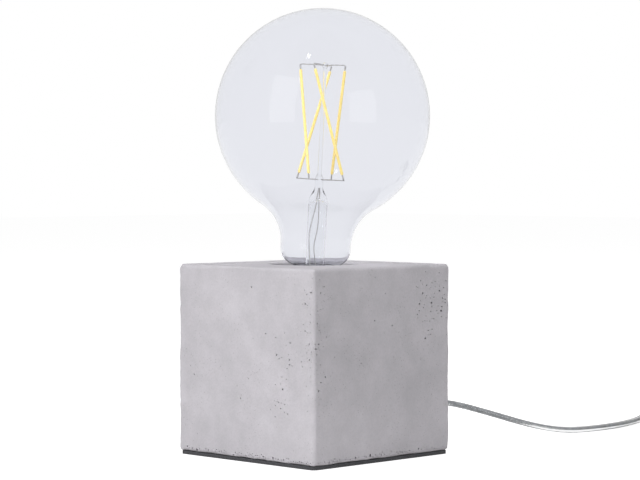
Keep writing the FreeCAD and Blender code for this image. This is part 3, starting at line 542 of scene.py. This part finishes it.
block = worn_block("cast_block")
lip_centre = (recess_radius + recess_lip, block_high.z - recess_lip)
above = block_high.z + cut_overrun
recess_profile = [(0, recess_floor), (recess_radius, recess_floor)] + arc(lip_centre, recess_lip, 180, 90, steps=8)
recess_profile += [(recess_radius + recess_lip, above), (0, above)]
carve(block, lathe("recess_cutter", recess_profile, closed=False), rod("web_cutter", web_hole, *web_hole_ends),
      cuboid("cavity_cutter", (-cavity_half, -cavity_half, cut_overrun), (cavity_half, cavity_half, web_underside),
             cavity_corner),
      lying(rod("lead_cutter", lead_hole, *lead_hole_ends), 0, 0, lead_hole_height),
      bubbles("pit_cutter", pit_places()))
soften(block, angle=40)


def times(nodes, links, one, two, factor=1):
    """One colour multiplied by another."""
    mix = nodes.new("ShaderNodeMix")
    mix.data_type = "RGBA"
    mix.blend_type = "MULTIPLY"
    mix.inputs["Factor"].default_value = factor
    links.new(one, mix.inputs["A"])
    links.new(two, mix.inputs["B"])
    return mix.outputs["Result"]


def specks(nodes, links, scale, low, high):
    """Small round spots, from 0 at a spot's middle to 1 outside it."""
    place = nodes.new("ShaderNodeTexCoord")
    cells = nodes.new("ShaderNodeTexVoronoi")
    cells.inputs["Scale"].default_value = scale
    links.new(place.outputs["Object"], cells.inputs["Vector"])
    levels = nodes.new("ShaderNodeMapRange")
    levels.inputs["From Min"].default_value = low
    levels.inputs["From Max"].default_value = high
    links.new(cells.outputs["Distance"], levels.inputs["Value"])
    return levels.outputs["Result"]


def plus(nodes, links, one, two, share=1):
    """One value plus a share of another."""
    total = nodes.new("ShaderNodeMath")
    total.operation = "MULTIPLY_ADD"
    links.new(two, total.inputs[0])
    total.inputs[1].default_value = share
    links.new(one, total.inputs[2])
    return total.outputs["Value"]


def larger(nodes, links, one, two):
    """The larger of two values."""
    choice = nodes.new("ShaderNodeMath")
    choice.operation = "MAXIMUM"
    links.new(one, choice.inputs[0])
    links.new(two, choice.inputs[1])
    return choice.outputs["Value"]


concrete, nodes, links, shader = surface("concrete")
clouds = noise(nodes, links, scale=22, detail=6)
patches = noise(nodes, links, scale=75, detail=5)
grain = noise(nodes, links, scale=900, detail=3)
cloud_colour = spread(nodes, links, clouds, [(0.3, (0.455, 0.439, 0.465)), (0.7, (0.54, 0.52, 0.55))])
patch_colour = spread(nodes, links, patches, [(0.35, (0.92, 0.92, 0.92)), (0.62, (1, 1, 1))])
grain_colour = spread(nodes, links, grain, [(0.35, (0.84, 0.84, 0.85)), (0.65, (1, 1, 1))])
whole = spread(nodes, links, noise(nodes, links, scale=60), [(0.5, (1, 1, 1)), (0.6, (0, 0, 0))])
# Tiny pores where the noise allows them: they dent the relief, and painted shade darkens their colour.
pores = larger(nodes, links, specks(nodes, links, scale=560, low=0.08, high=0.20), whole)
painted_pore_shade = spread(nodes, links, pores, [(0, (0.66, 0.65, 0.66)), (1, (1, 1, 1))])
stone = times(nodes, links, times(nodes, links, cloud_colour, patch_colour), grain_colour, factor=0.4)
links.new(times(nodes, links, stone, painted_pore_shade), shader.inputs["Base Color"])
rough_between(nodes, links, shader, patches, low=0.78, high=0.92)
shader.inputs["Specular IOR Level"].default_value = 0.3
relief = plus(nodes, links, plus(nodes, links, grain, patches, share=0.8), pores, share=0.9)
bumped(nodes, links, shader, relief, strength=0.35, distance=0.0003)
fitted(block, concrete, "concrete", "lamp_body", "concrete_block")


# Base pad
# A thin square of dark closed-cell foam glued under the block, a little smaller than it. It keeps the concrete
# off the table and closes the hollow.

foam = mottled("foam", 1600, [(0.030, 0.030, 0.034), (0.062, 0.062, 0.068)], rough=(0.82, 0.98), bump=(0.5, 0.0003))


def dress(name, material):
    """Gives a piece of the solid model its material."""
    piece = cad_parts[name]
    piece.data.materials.clear()
    piece.data.materials.append(material)


dress("base_pad", foam)


# Globe
# Blown clear glass, under a millimetre thick: a ball, a throat that narrows to the neck and a shoulder that
# draws in to the metal cap. The bulb leans a little, as in the photograph.

bulb_origin = Vector((0, 0, 0.104))
bulb_lean = math.radians(3)
bulb_turn = math.radians(45)
bulb_stand = Matrix.Translation(bulb_origin) @ Matrix.Rotation(bulb_turn, 4, "Z") @ Matrix.Rotation(bulb_lean, 4, "Y")
globe_radius = 0.0625
globe_centre = 0.093
neck_radius = 0.0205
neck_height = 0.01798
throat_radius = 0.0255
shoulder_radius = 0.0106
shoulder_height = 0.0159
glass_wall = 0.0005
glass_skirt = 0.01235
glass_seat = 0.003
shade_colour = (0.35, 0.42, 0.5, 1)
shade_density = 40


def glass_side(inset):
    """Half of the globe's section, set in by a distance, from the cap up to the top."""
    throat = neck_radius + throat_radius
    steepness = math.degrees(math.atan2(globe_centre - neck_height, throat))
    draw_in = (glass_skirt - neck_radius + shoulder_radius) / shoulder_radius
    side = [(glass_skirt - inset, -glass_seat), (glass_skirt - inset, 0)]
    side += arc((neck_radius - shoulder_radius, shoulder_height), shoulder_radius - inset,
                -math.degrees(math.acos(draw_in)), 0, steps=14)
    side += arc((throat, neck_height), throat_radius + inset, 180, 180 - steepness, steps=18)
    side += arc((0, globe_centre), globe_radius - inset, -steepness, 90, steps=56)[1:]
    return side


def in_bulb(piece):
    """Sets a piece made in the bulb's own frame where the bulb stands."""
    piece.data.transform(bulb_stand)
    return piece


outer = glass_side(0)[:-1] + [(0, globe_centre + globe_radius)]
inner = glass_side(glass_wall)[:-1] + [(0, globe_centre + globe_radius - glass_wall)]
globe = in_bulb(soften(lathe("globe", outer + inner[::-1], segments=160), angle=50))
clear_glass = clear("clear_glass", (0.903, 0.908, 0.936), index=1.2, scale=28, detail=2, rough=(0, 0.012),
                    bump=(0.02, 0.0005))
depth = clear_glass.node_tree.nodes.new("ShaderNodeVolumeAbsorption")
depth.inputs["Color"].default_value = shade_colour
depth.inputs["Density"].default_value = shade_density
clear_glass.node_tree.links.new(depth.outputs["Volume"],
                                clear_glass.node_tree.nodes["Material Output"].inputs["Volume"])
globe.visible_shadow = False
fitted(globe, clear_glass, "clear_glass", "bulb", "glass_envelope")

# Glass stem
# A glass tube flares at its foot, where it is melted to the neck, and is pinched shut round the wires at its top.
# A thin glass rod stands on the pinch and carries the filaments' upper wires in a small button.

stem_radius = 0.0055
stem_wall = 0.0008
stem_flare = 0.01135
flare_rise, flare_bend = 0.009, 0.9
stem_shoulder = 0.0455
bend_start = 0.0435
pinch_height = 0.052
pinch_radius = 0.0024
pinch_top = 0.0565
rod_radius = 0.00115
rod_foot = [(0.0021, 0.0009), (0.0015, 0.0018), (rod_radius, 0.003)]
hub_height = 0.1224
hub_radius = 0.0018
hub_foot = 0.0022
hollow_top = [(0, stem_wall), (0.002, 0.0012), (0.0038, 0.0026), (stem_radius - stem_wall, 0.005)]


def flare_side(inset, steps=12):
    """The tube's foot: it curves out to the neck's wall."""
    points = []
    for step in range(steps + 1):
        share = step / steps
        points.append((stem_flare - inset - (stem_flare - stem_radius) * math.sin(share * math.pi / 2),
                       flare_rise * (1 - math.cos(share * math.pi / 2)) ** flare_bend - glass_seat * (1 - share)))
    return points


def pinch_side(steps=12):
    """The tube's top, where it draws in to the pinch."""
    points = []
    for step in range(steps + 1):
        share = step / steps
        blend = (1 - math.cos(math.pi * share)) / 2
        points.append((stem_radius + (pinch_radius - stem_radius) * blend,
                       bend_start + (pinch_height - bend_start) * share))
    return points


stem_side = flare_side(0) + pinch_side() + [(pinch_radius, pinch_top)]
stem_side += [(radius, pinch_top + rise) for radius, rise in rod_foot] + [(rod_radius, hub_height - hub_foot)]
stem_side += arc((0, hub_height), hub_radius, -50, 90, steps=12)[:-1] + [(0, hub_height + hub_radius)]
stem_side += [(radius, stem_shoulder - fall) for radius, fall in hollow_top] + flare_side(stem_wall)[::-1]
stem = in_bulb(soften(lathe("stem", stem_side, segments=64), angle=50))
stem_glass = clear("stem_glass", (0.97, 0.975, 0.98), index=1.33, scale=120, detail=2, rough=(0, 0.03),
                   bump=(0.02, 0.0003))
stem.visible_shadow = False
fitted(stem, stem_glass, "clear_glass", "bulb", "bulb_stem")


# Filaments
# Four straight rods of yellow phosphor stand askew between the stem's pinch and the upper button, each a row of
# tiny lamps on a strip with a metal tab welded to both ends.

filament_radius = 0.00085
filament_count = 4
filament_bottom = 0.0592
filament_top = 0.1197
bottom_ring, top_ring = 0.0144, 0.0136
bottom_shift, top_shift = 0.0005, -0.0013
first_angle = math.radians(62)
twist_angle = math.radians(80.8)
tab_length = 0.003
tab_radius = 0.0005

phosphor = mottled("phosphor", 1100, [(0.93, 0.69, 0.18), (0.98, 0.78, 0.28), (1.0, 0.86, 0.44)], rough=(0.38, 0.6),
                   bump=(0.3, 0.0001), stops=(0.3, 0.55, 0.75),
                   more={"Subsurface Weight": 0.15, "Subsurface Radius": (0.001, 0.0006, 0.0003)})
nickel = mottled("nickel", 800, [(0.46, 0.45, 0.44), (0.66, 0.65, 0.64)], rough=(0.22, 0.42), bump=(0.12, 0.0001),
                 detail=5, more={"Metallic": 1})


def filament_ends(number):
    """The lower and upper end of a filament in the bulb's own frame."""
    low = first_angle + 2 * math.pi * number / filament_count
    high = low - twist_angle
    return (Vector((bottom_ring * math.cos(low) + bottom_shift, bottom_ring * math.sin(low), filament_bottom)),
            Vector((top_ring * math.cos(high) + top_shift, top_ring * math.sin(high), filament_top)))


def standing(piece, foot, head):
    """Turns a piece made upright at the origin so that it runs from its foot to its head."""
    turn = (head - foot).to_track_quat("Z", "Y").to_matrix().to_4x4()
    piece.data.transform(Matrix.Translation(foot) @ turn)
    return in_bulb(piece)


def rod_with_round_ends(name, radius, length, steps=6):
    """An upright rod from the origin, with half-ball ends."""
    low = arc((0, radius), radius, -90, 0, steps)
    high = arc((0, length - radius), radius, 0, 90, steps)
    return soften(lathe(name, low + high, segments=20), angle=60)


def combined(name, pieces):
    """Several objects' meshes as one object."""
    build = bmesh.new()
    for piece in pieces:
        build.from_mesh(piece.data)
        bpy.data.objects.remove(piece)
    mesh = bpy.data.meshes.new(name)
    build.to_mesh(mesh)
    build.free()
    return placed(name, mesh)


tabs = []
for number in range(filament_count):
    foot, head = filament_ends(number)
    along = (head - foot).normalized() * tab_length
    name = "led_filament_%d" % (number + 1)
    filament = standing(rod_with_round_ends("dressed_" + name, filament_radius, (head - foot).length), foot, head)
    fitted(filament, phosphor, "filament", "bulb", name)
    for start, end in ((foot - along, foot), (head, head + along)):
        tabs.append(standing(rod_with_round_ends("tab", tab_radius, tab_length, steps=3), start, end))
fitted(combined("tabs", tabs), nickel, "nickel", "bulb", "filament_tabs")

# Wires in the bulb
# Thin nickel wires: four reach from the upper button out to the filaments, four from the pinch to their feet, and
# two run down inside the stem to the driver, bent as in the photograph.

wire_radius = 0.0003
lower_drop = 0.0006
lower_lift = 0.0002
hub_bends = [(0.0012, 0), (0.005, 0.0004)]
head_bends = [(-0.003, 0.0002), (0, 0.0003)]
pinch_bends = [(0.0016, 0), (0.004, 0.0001)]
foot_bends = [(-0.002, 0), (0.0004, 0)]
foot_stand, tip_stand = 0.0004, 0.0003
front_lead = [(0, -0.0008, 0.0510), (-0.0008, -0.0015, 0.0419), (-0.0030, -0.0018, 0.0318),
              (-0.0040, -0.0012, 0.0253), (-0.0041, -0.0005, 0.0192), (-0.0029, -0.0020, 0.0082),
              (-0.0020, -0.0030, -0.0020)]
rear_lead = [(0.0003, 0.0008, 0.0510), (0.0006, 0.0015, 0.0420), (0.0009, 0.0026, 0.0318),
             (0.0002, 0.0035, 0.0250), (-0.0015, 0.0036, 0.0167), (0.0002, 0.0032, 0.0085),
             (0.0010, 0.0030, -0.0020)]


def wire(name, places, steps=6):
    """A round wire along a smooth line."""
    curve = smooth_curve(name, places, steps)
    curve.bevel_depth = wire_radius
    curve.bevel_resolution = 2
    curve.use_fill_caps = True
    piece = placed(name, mesh_of(curve))
    for face in piece.data.polygons:
        face.use_smooth = True
    return piece


def bends(start, outward, steps):
    """Places that stand off a start by (outward, upward) steps."""
    return [start + outward * reach + Vector((0, 0, rise)) for reach, rise in steps]


hub = Vector((0, 0, hub_height))
pinch = Vector((0, 0, pinch_top - lower_drop))
upper, lower = [], []
for number in range(filament_count):
    foot, head = filament_ends(number)
    along = (head - foot).normalized() * tab_length
    outward = Vector((head.x, head.y, 0)).normalized()
    end = head + along
    upper.append(wire("upper", bends(hub, outward, hub_bends) + bends(end, outward, head_bends)
                      + [end + outward * tip_stand - along / 2]))
    outward = Vector((foot.x, foot.y, 0)).normalized()
    end = foot - along
    under = Vector((end.x, end.y, pinch.z + lower_lift))
    lower.append(wire("lower", bends(pinch, outward, pinch_bends) + bends(under, outward, foot_bends)
                      + [end + outward * foot_stand, end + outward * tip_stand + along / 2]))
fitted(in_bulb(combined("upper_wires", upper)), nickel, "nickel", "bulb", "top_wires")
fitted(in_bulb(combined("lower_wires", lower)), nickel, "nickel", "bulb", "bottom_wires")
leads = combined("stem_leads", [wire("front_lead", front_lead), wire("rear_lead", rear_lead)])
fitted(in_bulb(leads), nickel, "nickel", "bulb", "lead_in_wires")


# Bulb cap and driver
# Nickel-plated brass sheet rolled into a coarse screw thread, a black glass insulator and a soldered tip. The
# driver, a small board with its capacitor and chip, hides inside the cap.

flat_angle = math.radians(0.5)
sharp_angle = math.radians(30)


def eased(name, node, width, material, slot_name, body, steps=2):
    """A copy of a solid with its edges rounded, which stands for the solid."""
    build = bmesh.new()
    build.from_mesh(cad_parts[node].data)
    build.transform(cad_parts[node].matrix_world)
    bmesh.ops.remove_doubles(build, verts=build.verts, dist=merge_distance)
    bmesh.ops.dissolve_limit(build, angle_limit=flat_angle, verts=build.verts, edges=build.edges)
    sharp = [edge for edge in build.edges
             if len(edge.link_faces) == 2 and edge.calc_face_angle(0) > sharp_angle]
    bmesh.ops.bevel(build, geom=sharp, offset=width, segments=steps, affect="EDGES", profile=0.5, clamp_overlap=True)
    return fitted(soften(added(name, build), angle=42), material, slot_name, body, node)


black_glass = mottled("black_glass", 600, [(0.016, 0.016, 0.020), (0.034, 0.034, 0.040)], rough=(0.08, 0.2),
                      bump=(0.1, 0.0002), detail=3)
circuit_board = mottled("circuit_board", 1500, [(0.05, 0.24, 0.10), (0.08, 0.34, 0.15)], rough=(0.3, 0.5),
                        bump=(0.2, 0.0001), detail=3, stops=(0.35, 0.65))
component = mottled("component", 1300, [(0.045, 0.045, 0.055), (0.08, 0.08, 0.095)], rough=(0.4, 0.6), detail=3)

dress("cap_shell", nickel)
dress("cap_contact", nickel)
dress("cap_insulator", black_glass)
dress("driver_board", circuit_board)
dress("driver_parts", component)

# Lamp holder
# Black moulded plastic in two parts, a dome on the threaded tube and a skirt screwed over it, with a white glazed
# insert, a brass screw shell, a sprung middle contact and two screw terminals for the lead.

holder_edge, insert_edge, nut_edge = 0.0003, 0.0002, 0.0003
black_plastic = mottled("black_plastic", 1400, [(0.022, 0.022, 0.024), (0.040, 0.040, 0.043)], rough=(0.35, 0.5),
                        bump=(0.25, 0.0001))
glazed = mottled("glazed_ceramic", 260, [(0.76, 0.74, 0.69), (0.84, 0.82, 0.77)], rough=(0.12, 0.25),
                 bump=(0.1, 0.0002))
brass = mottled("brass", 700, [(0.56, 0.42, 0.18), (0.74, 0.59, 0.30)], rough=(0.25, 0.45), bump=(0.12, 0.0001),
                detail=5, more={"Metallic": 1})
zinc = mottled("zinc_plate", 500, [(0.50, 0.50, 0.51), (0.66, 0.66, 0.67)], rough=(0.28, 0.48),
               bump=(0.15, 0.0001), detail=5, stretch=(1, 1, 3), more={"Metallic": 1})

eased("dressed_dome", "holder_dome", holder_edge, black_plastic, "holder_plastic", "lamp_body")
eased("dressed_skirt", "holder_skirt", holder_edge, black_plastic, "holder_plastic", "lamp_body")
eased("dressed_insert", "holder_insert", insert_edge, glazed, "ceramic", "lamp_body")
dress("dome_lock_screw", black_plastic)
for name in ("screw_shell", "centre_contact", "line_terminal", "neutral_terminal"):
    dress(name, brass)
for name in ("threaded_nipple", "lower_washer", "upper_washer", "terminal_screws"):
    dress(name, zinc)
eased("dressed_nut", "nipple_nut", nut_edge, zinc, "steel", "lamp_body")

# Lead inside the block
# The same clear twin lead goes through the bush, turns up through the threaded tube and parts into its two
# insulated cores, which end under the terminal screws.

grey_sheath = mottled("sheath_over_strands", 500, [(0.42, 0.43, 0.45), (0.60, 0.61, 0.63)], rough=(0.15, 0.3),
                      bump=(0.2, 0.0001), stretch=(1, 1, 0.2), more={"Coat Weight": 0.6})
for name in ("inner_cord", "line_core", "neutral_core"):
    dress(name, grey_sheath)

# Cable bush
# A clear moulded bush screwed into the back wall. Its tail tapers along the lead to keep it from kinking where it
# leaves the block, and a hexagon nut holds it from the inside.

bush_reach = 0.028
bush_foot = 0.056
bush_bore = 0.0024
flange_radius, flange_depth = 0.0085, 0.0025
flange_edge = 0.0008
thread_radius, thread_depth = 0.00575, 0.020
thread_edge = 0.0004
tail_root, tail_taper = 0.0048, 0.0014
tip_edge, tip_swell, tip_round = 0.0006, 0.0001, 0.0004
bush_ribs = 6
bush_rib_start = 0.0022
bush_rib_pitch = 0.0032
bush_rib_depth = 0.0005
bush_rib_steps = ((0, 0), (0.0003, 1), (0.0013, 1), (0.0016, 0))

clear_plastic = mottled("clear_plastic", 420, [(0.70, 0.72, 0.74), (0.82, 0.84, 0.86)], rough=(0.12, 0.3),
                        bump=(0.15, 0.0002), more={"Transmission Weight": 0.55, "IOR": 1.45})


def bush_tail(along):
    """Radius of the tapering tail at a distance from the wall."""
    share = (along - flange_depth) / (bush_reach - flange_depth)
    return tail_root - tail_taper * share


def ribbed(radius_at, count, first, pitch, depth, steps):
    """Side of a tapering tail with grooves; each groove's steps are (along it, share of its depth)."""
    places = [(first + groove * pitch + along, sink) for groove in range(count) for along, sink in steps]
    return [(radius_at(along) - sink * depth, along) for along, sink in places]


bush_side = [(bush_bore, -thread_depth), (thread_radius - thread_edge, -thread_depth),
             (thread_radius, thread_edge - thread_depth), (thread_radius, 0), (flange_radius, 0)]
bush_side += arc((flange_radius - flange_edge, flange_depth - flange_edge), flange_edge, 0, 90, steps=5)
bush_side += [(bush_tail(flange_depth), flange_depth)]
bush_side += ribbed(bush_tail, bush_ribs, flange_depth + bush_rib_start, bush_rib_pitch, bush_rib_depth,
                    bush_rib_steps)
tip_radius = bush_tail(bush_reach)
bush_side += [(tip_radius + tip_swell, bush_reach - tip_edge), (tip_radius - tip_round, bush_reach),
              (bush_bore, bush_reach)]
bush = lying(lathe("bush", bush_side, segments=48), 0, bush_foot, lead_hole_height)
fitted(soften(bush, angle=35), clear_plastic, "clear_pvc", "lamp_body", "exit_bush")
eased("dressed_bush_nut", "bush_nut", nut_edge, clear_plastic, "clear_pvc", "lamp_body")


# In-line switch
# A white two-part housing on the lead with a rocker across its top. Two screws from below close it over the
# rocker's steel pin and the brass studs that take the cores.

base_edge, cover_edge, rocker_edge = 0.0006, 0.0007, 0.0006
white_plastic = mottled("white_plastic", 900, [(0.77, 0.77, 0.76), (0.83, 0.83, 0.82)], rough=(0.26, 0.4),
                        bump=(0.12, 0.0001))
rocker_plastic = mottled("rocker_plastic", 1200, [(0.70, 0.70, 0.69), (0.77, 0.77, 0.76)], rough=(0.18, 0.3),
                         bump=(0.1, 0.0001))

eased("dressed_switch_base", "switch_base", base_edge, white_plastic, "switch_plastic", "lamp_body", steps=3)
eased("dressed_switch_cover", "switch_cover", cover_edge, white_plastic, "switch_plastic", "lamp_body", steps=3)
eased("dressed_rocker", "switch_rocker", rocker_edge, rocker_plastic, "rocker", "rocker", steps=3)
dress("rocker_pin", zinc)
dress("switch_screws", zinc)
dress("switch_contacts", brass)

# Tie
# A white woven band holds the coil together where the turns lie nearest the switch. It is wound tight round the
# turns of both layers.

tie_edge = 0.0002
band = mottled("band", 1500, [(0.66, 0.66, 0.67), (0.80, 0.80, 0.81)], rough=(0.55, 0.75), bump=(0.35, 0.0002),
               detail=3, stretch=(1, 0.3, 0.3))
eased("dressed_tie", "cord_tie", tie_edge, band, "tie", "lamp_body")

# Plug
# A flat white two-pin plug moulded on the lead, with a ribbed tail. Each round pin is plated, with a black sleeve
# at its root.

plug_x, plug_height = 0.113, 0.0072
tail_start, tail_length = 0.3435, 0.022
tail_wide, tail_thin = 0.0050, 0.0031
tail_edge = 0.0004
tail_ribs = 5
tail_rib_start = 0.0016
tail_rib_pitch = 0.0038
tail_rib_depth = 0.0007
tail_rib_steps = ((0, 0), (0.0004, 1), (0.0016, 1), (0.0020, 0))
pin_edge = 0.0005


def plug_tail(along):
    """Radius of the plug's tail at a distance from its root."""
    return tail_wide + (tail_thin - tail_wide) * (along / tail_length)


tail_side = [(0, 0), (tail_wide, 0)]
tail_side += ribbed(plug_tail, tail_ribs, tail_rib_start, tail_rib_pitch, tail_rib_depth, tail_rib_steps)
tail_side += [(tail_thin, tail_length - tail_edge), (tail_thin - tail_edge, tail_length), (0, tail_length)]
tail = lying(lathe("plug_tail", tail_side, segments=40, closed=False), plug_x, tail_start, plug_height)
fitted(soften(tail, angle=35), white_plastic, "switch_plastic", "lamp_body", "plug_relief")
dress("plug_body", white_plastic)
eased("dressed_pins", "plug_pins", pin_edge, nickel, "nickel", "lamp_body", steps=3)
dress("plug_sleeves", black_plastic)


# Studio
# A white table and backdrop, which the camera, reflections and glass see as plain white, a large soft lamp in
# front of each visible face, the left one stronger, one overhead, and three bright panels that only shiny pieces
# and glass show: two pale ones at the sides and a small one above, which gives the globe its white spot.

globe_middle = bulb_origin + Vector((0, 0, globe_centre))
lamps_look_at = (0, 0, 0.1)
white = (1, 1, 1, 1)
mirror_share = 0.75
camera_share = 0.5
world_glow = 0.32
floor_size = 6
floor_drop = 0.0002


def lamp(name, place, power, width, height):
    """A soft rectangular lamp that isn't mirrored."""
    light = bpy.data.lights.new(name, "AREA")
    light.shape = "RECTANGLE"
    light.size, light.size_y = width, height
    light.energy = power
    holder = bpy.data.objects.new(name, light)
    holder.location = place
    holder.rotation_euler = (Vector(lamps_look_at) - Vector(place)).to_track_quat("-Z", "Y").to_euler()
    holder.visible_glossy = False
    holder.visible_transmission = False
    bpy.context.collection.objects.link(holder)


def viewers(nodes, links, camera_share=1):
    """1 for rays through glass, shares for those off a mirror and the camera's, 0 for light that falls on things."""
    path = nodes.new("ShaderNodeLightPath")
    mirrored = plus(nodes, links, path.outputs["Is Transmission Ray"], path.outputs["Is Glossy Ray"], mirror_share)
    return plus(nodes, links, mirrored, path.outputs["Is Camera Ray"], camera_share)


def panel(name, rightward, toward, upward, width, height, brightness, through=False):
    """A bright panel that faces the globe from a place given as the camera sees it; only mirrors, or glass too,
    see it."""
    build = bmesh.new()
    bmesh.ops.create_grid(build, x_segments=1, y_segments=1, size=0.5)
    bmesh.ops.scale(build, vec=(width, height, 1), verts=build.verts)
    piece = added(name, build)
    piece.location = globe_middle + right * rightward + back * toward + Vector((0, 0, upward))
    piece.rotation_euler = (globe_middle - piece.location).to_track_quat("Z", "Y").to_euler()
    glow, nodes, links, shader = surface(name)
    shader.inputs["Base Color"].default_value = (0, 0, 0, 1)
    shader.inputs["Emission Color"].default_value = white
    shader.inputs["Emission Strength"].default_value = brightness
    piece.data.materials.append(glow)
    piece.visible_camera = False
    piece.visible_diffuse = False
    piece.visible_transmission = through
    piece.visible_shadow = False
    return piece


world = bpy.data.worlds.new("studio")
bpy.context.scene.world = world
world.use_nodes = True
nodes, links = world.node_tree.nodes, world.node_tree.links
backdrop = nodes["Background"]
backdrop.inputs["Color"].default_value = white
levels = nodes.new("ShaderNodeMapRange")
levels.inputs["To Min"].default_value = world_glow
levels.inputs["To Max"].default_value = 1
links.new(viewers(nodes, links), levels.inputs["Value"])
links.new(levels.outputs["Result"], backdrop.inputs["Strength"])

build = bmesh.new()
bmesh.ops.create_grid(build, x_segments=1, y_segments=1, size=floor_size)
floor = added("floor", build)
floor.location.z = -floor_drop
table, nodes, links, shader = surface("table")
shader.inputs["Roughness"].default_value = 0.95
shader.inputs["Emission Color"].default_value = white
seen = viewers(nodes, links, camera_share)
links.new(spread(nodes, links, seen, [(0, (0.86, 0.86, 0.86)), (0.5, (0.52, 0.52, 0.52)), (1, (0, 0, 0))]),
          shader.inputs["Base Color"])
links.new(spread(nodes, links, seen, [(0, (0, 0, 0)), (0.5, (0.82, 0.82, 0.82)), (1, (1, 1, 1))]),
          shader.inputs["Emission Strength"])
shader.inputs["Specular IOR Level"].default_value = 0
floor.data.materials.append(table)
panel("left_panel", -1.02, 1.10, 0.3, width=0.8, height=1.5, brightness=5.5)
panel("right_panel", 1.02, 1.10, 0, width=0.8, height=1.3, brightness=5)
panel("small_panel", -0.31, 0.62, 1.33, width=0.1, height=0.12, brightness=60, through=True)

lamp("key", (0.04, -1.55, 0.72), power=18.5, width=1.0, height=1.4)
lamp("fill", (1.55, -0.08, 0.5), power=6.1, width=1.0, height=1.4)
lamp("overhead", (0, 0, 1.7), power=12, width=0.8, height=0.8)
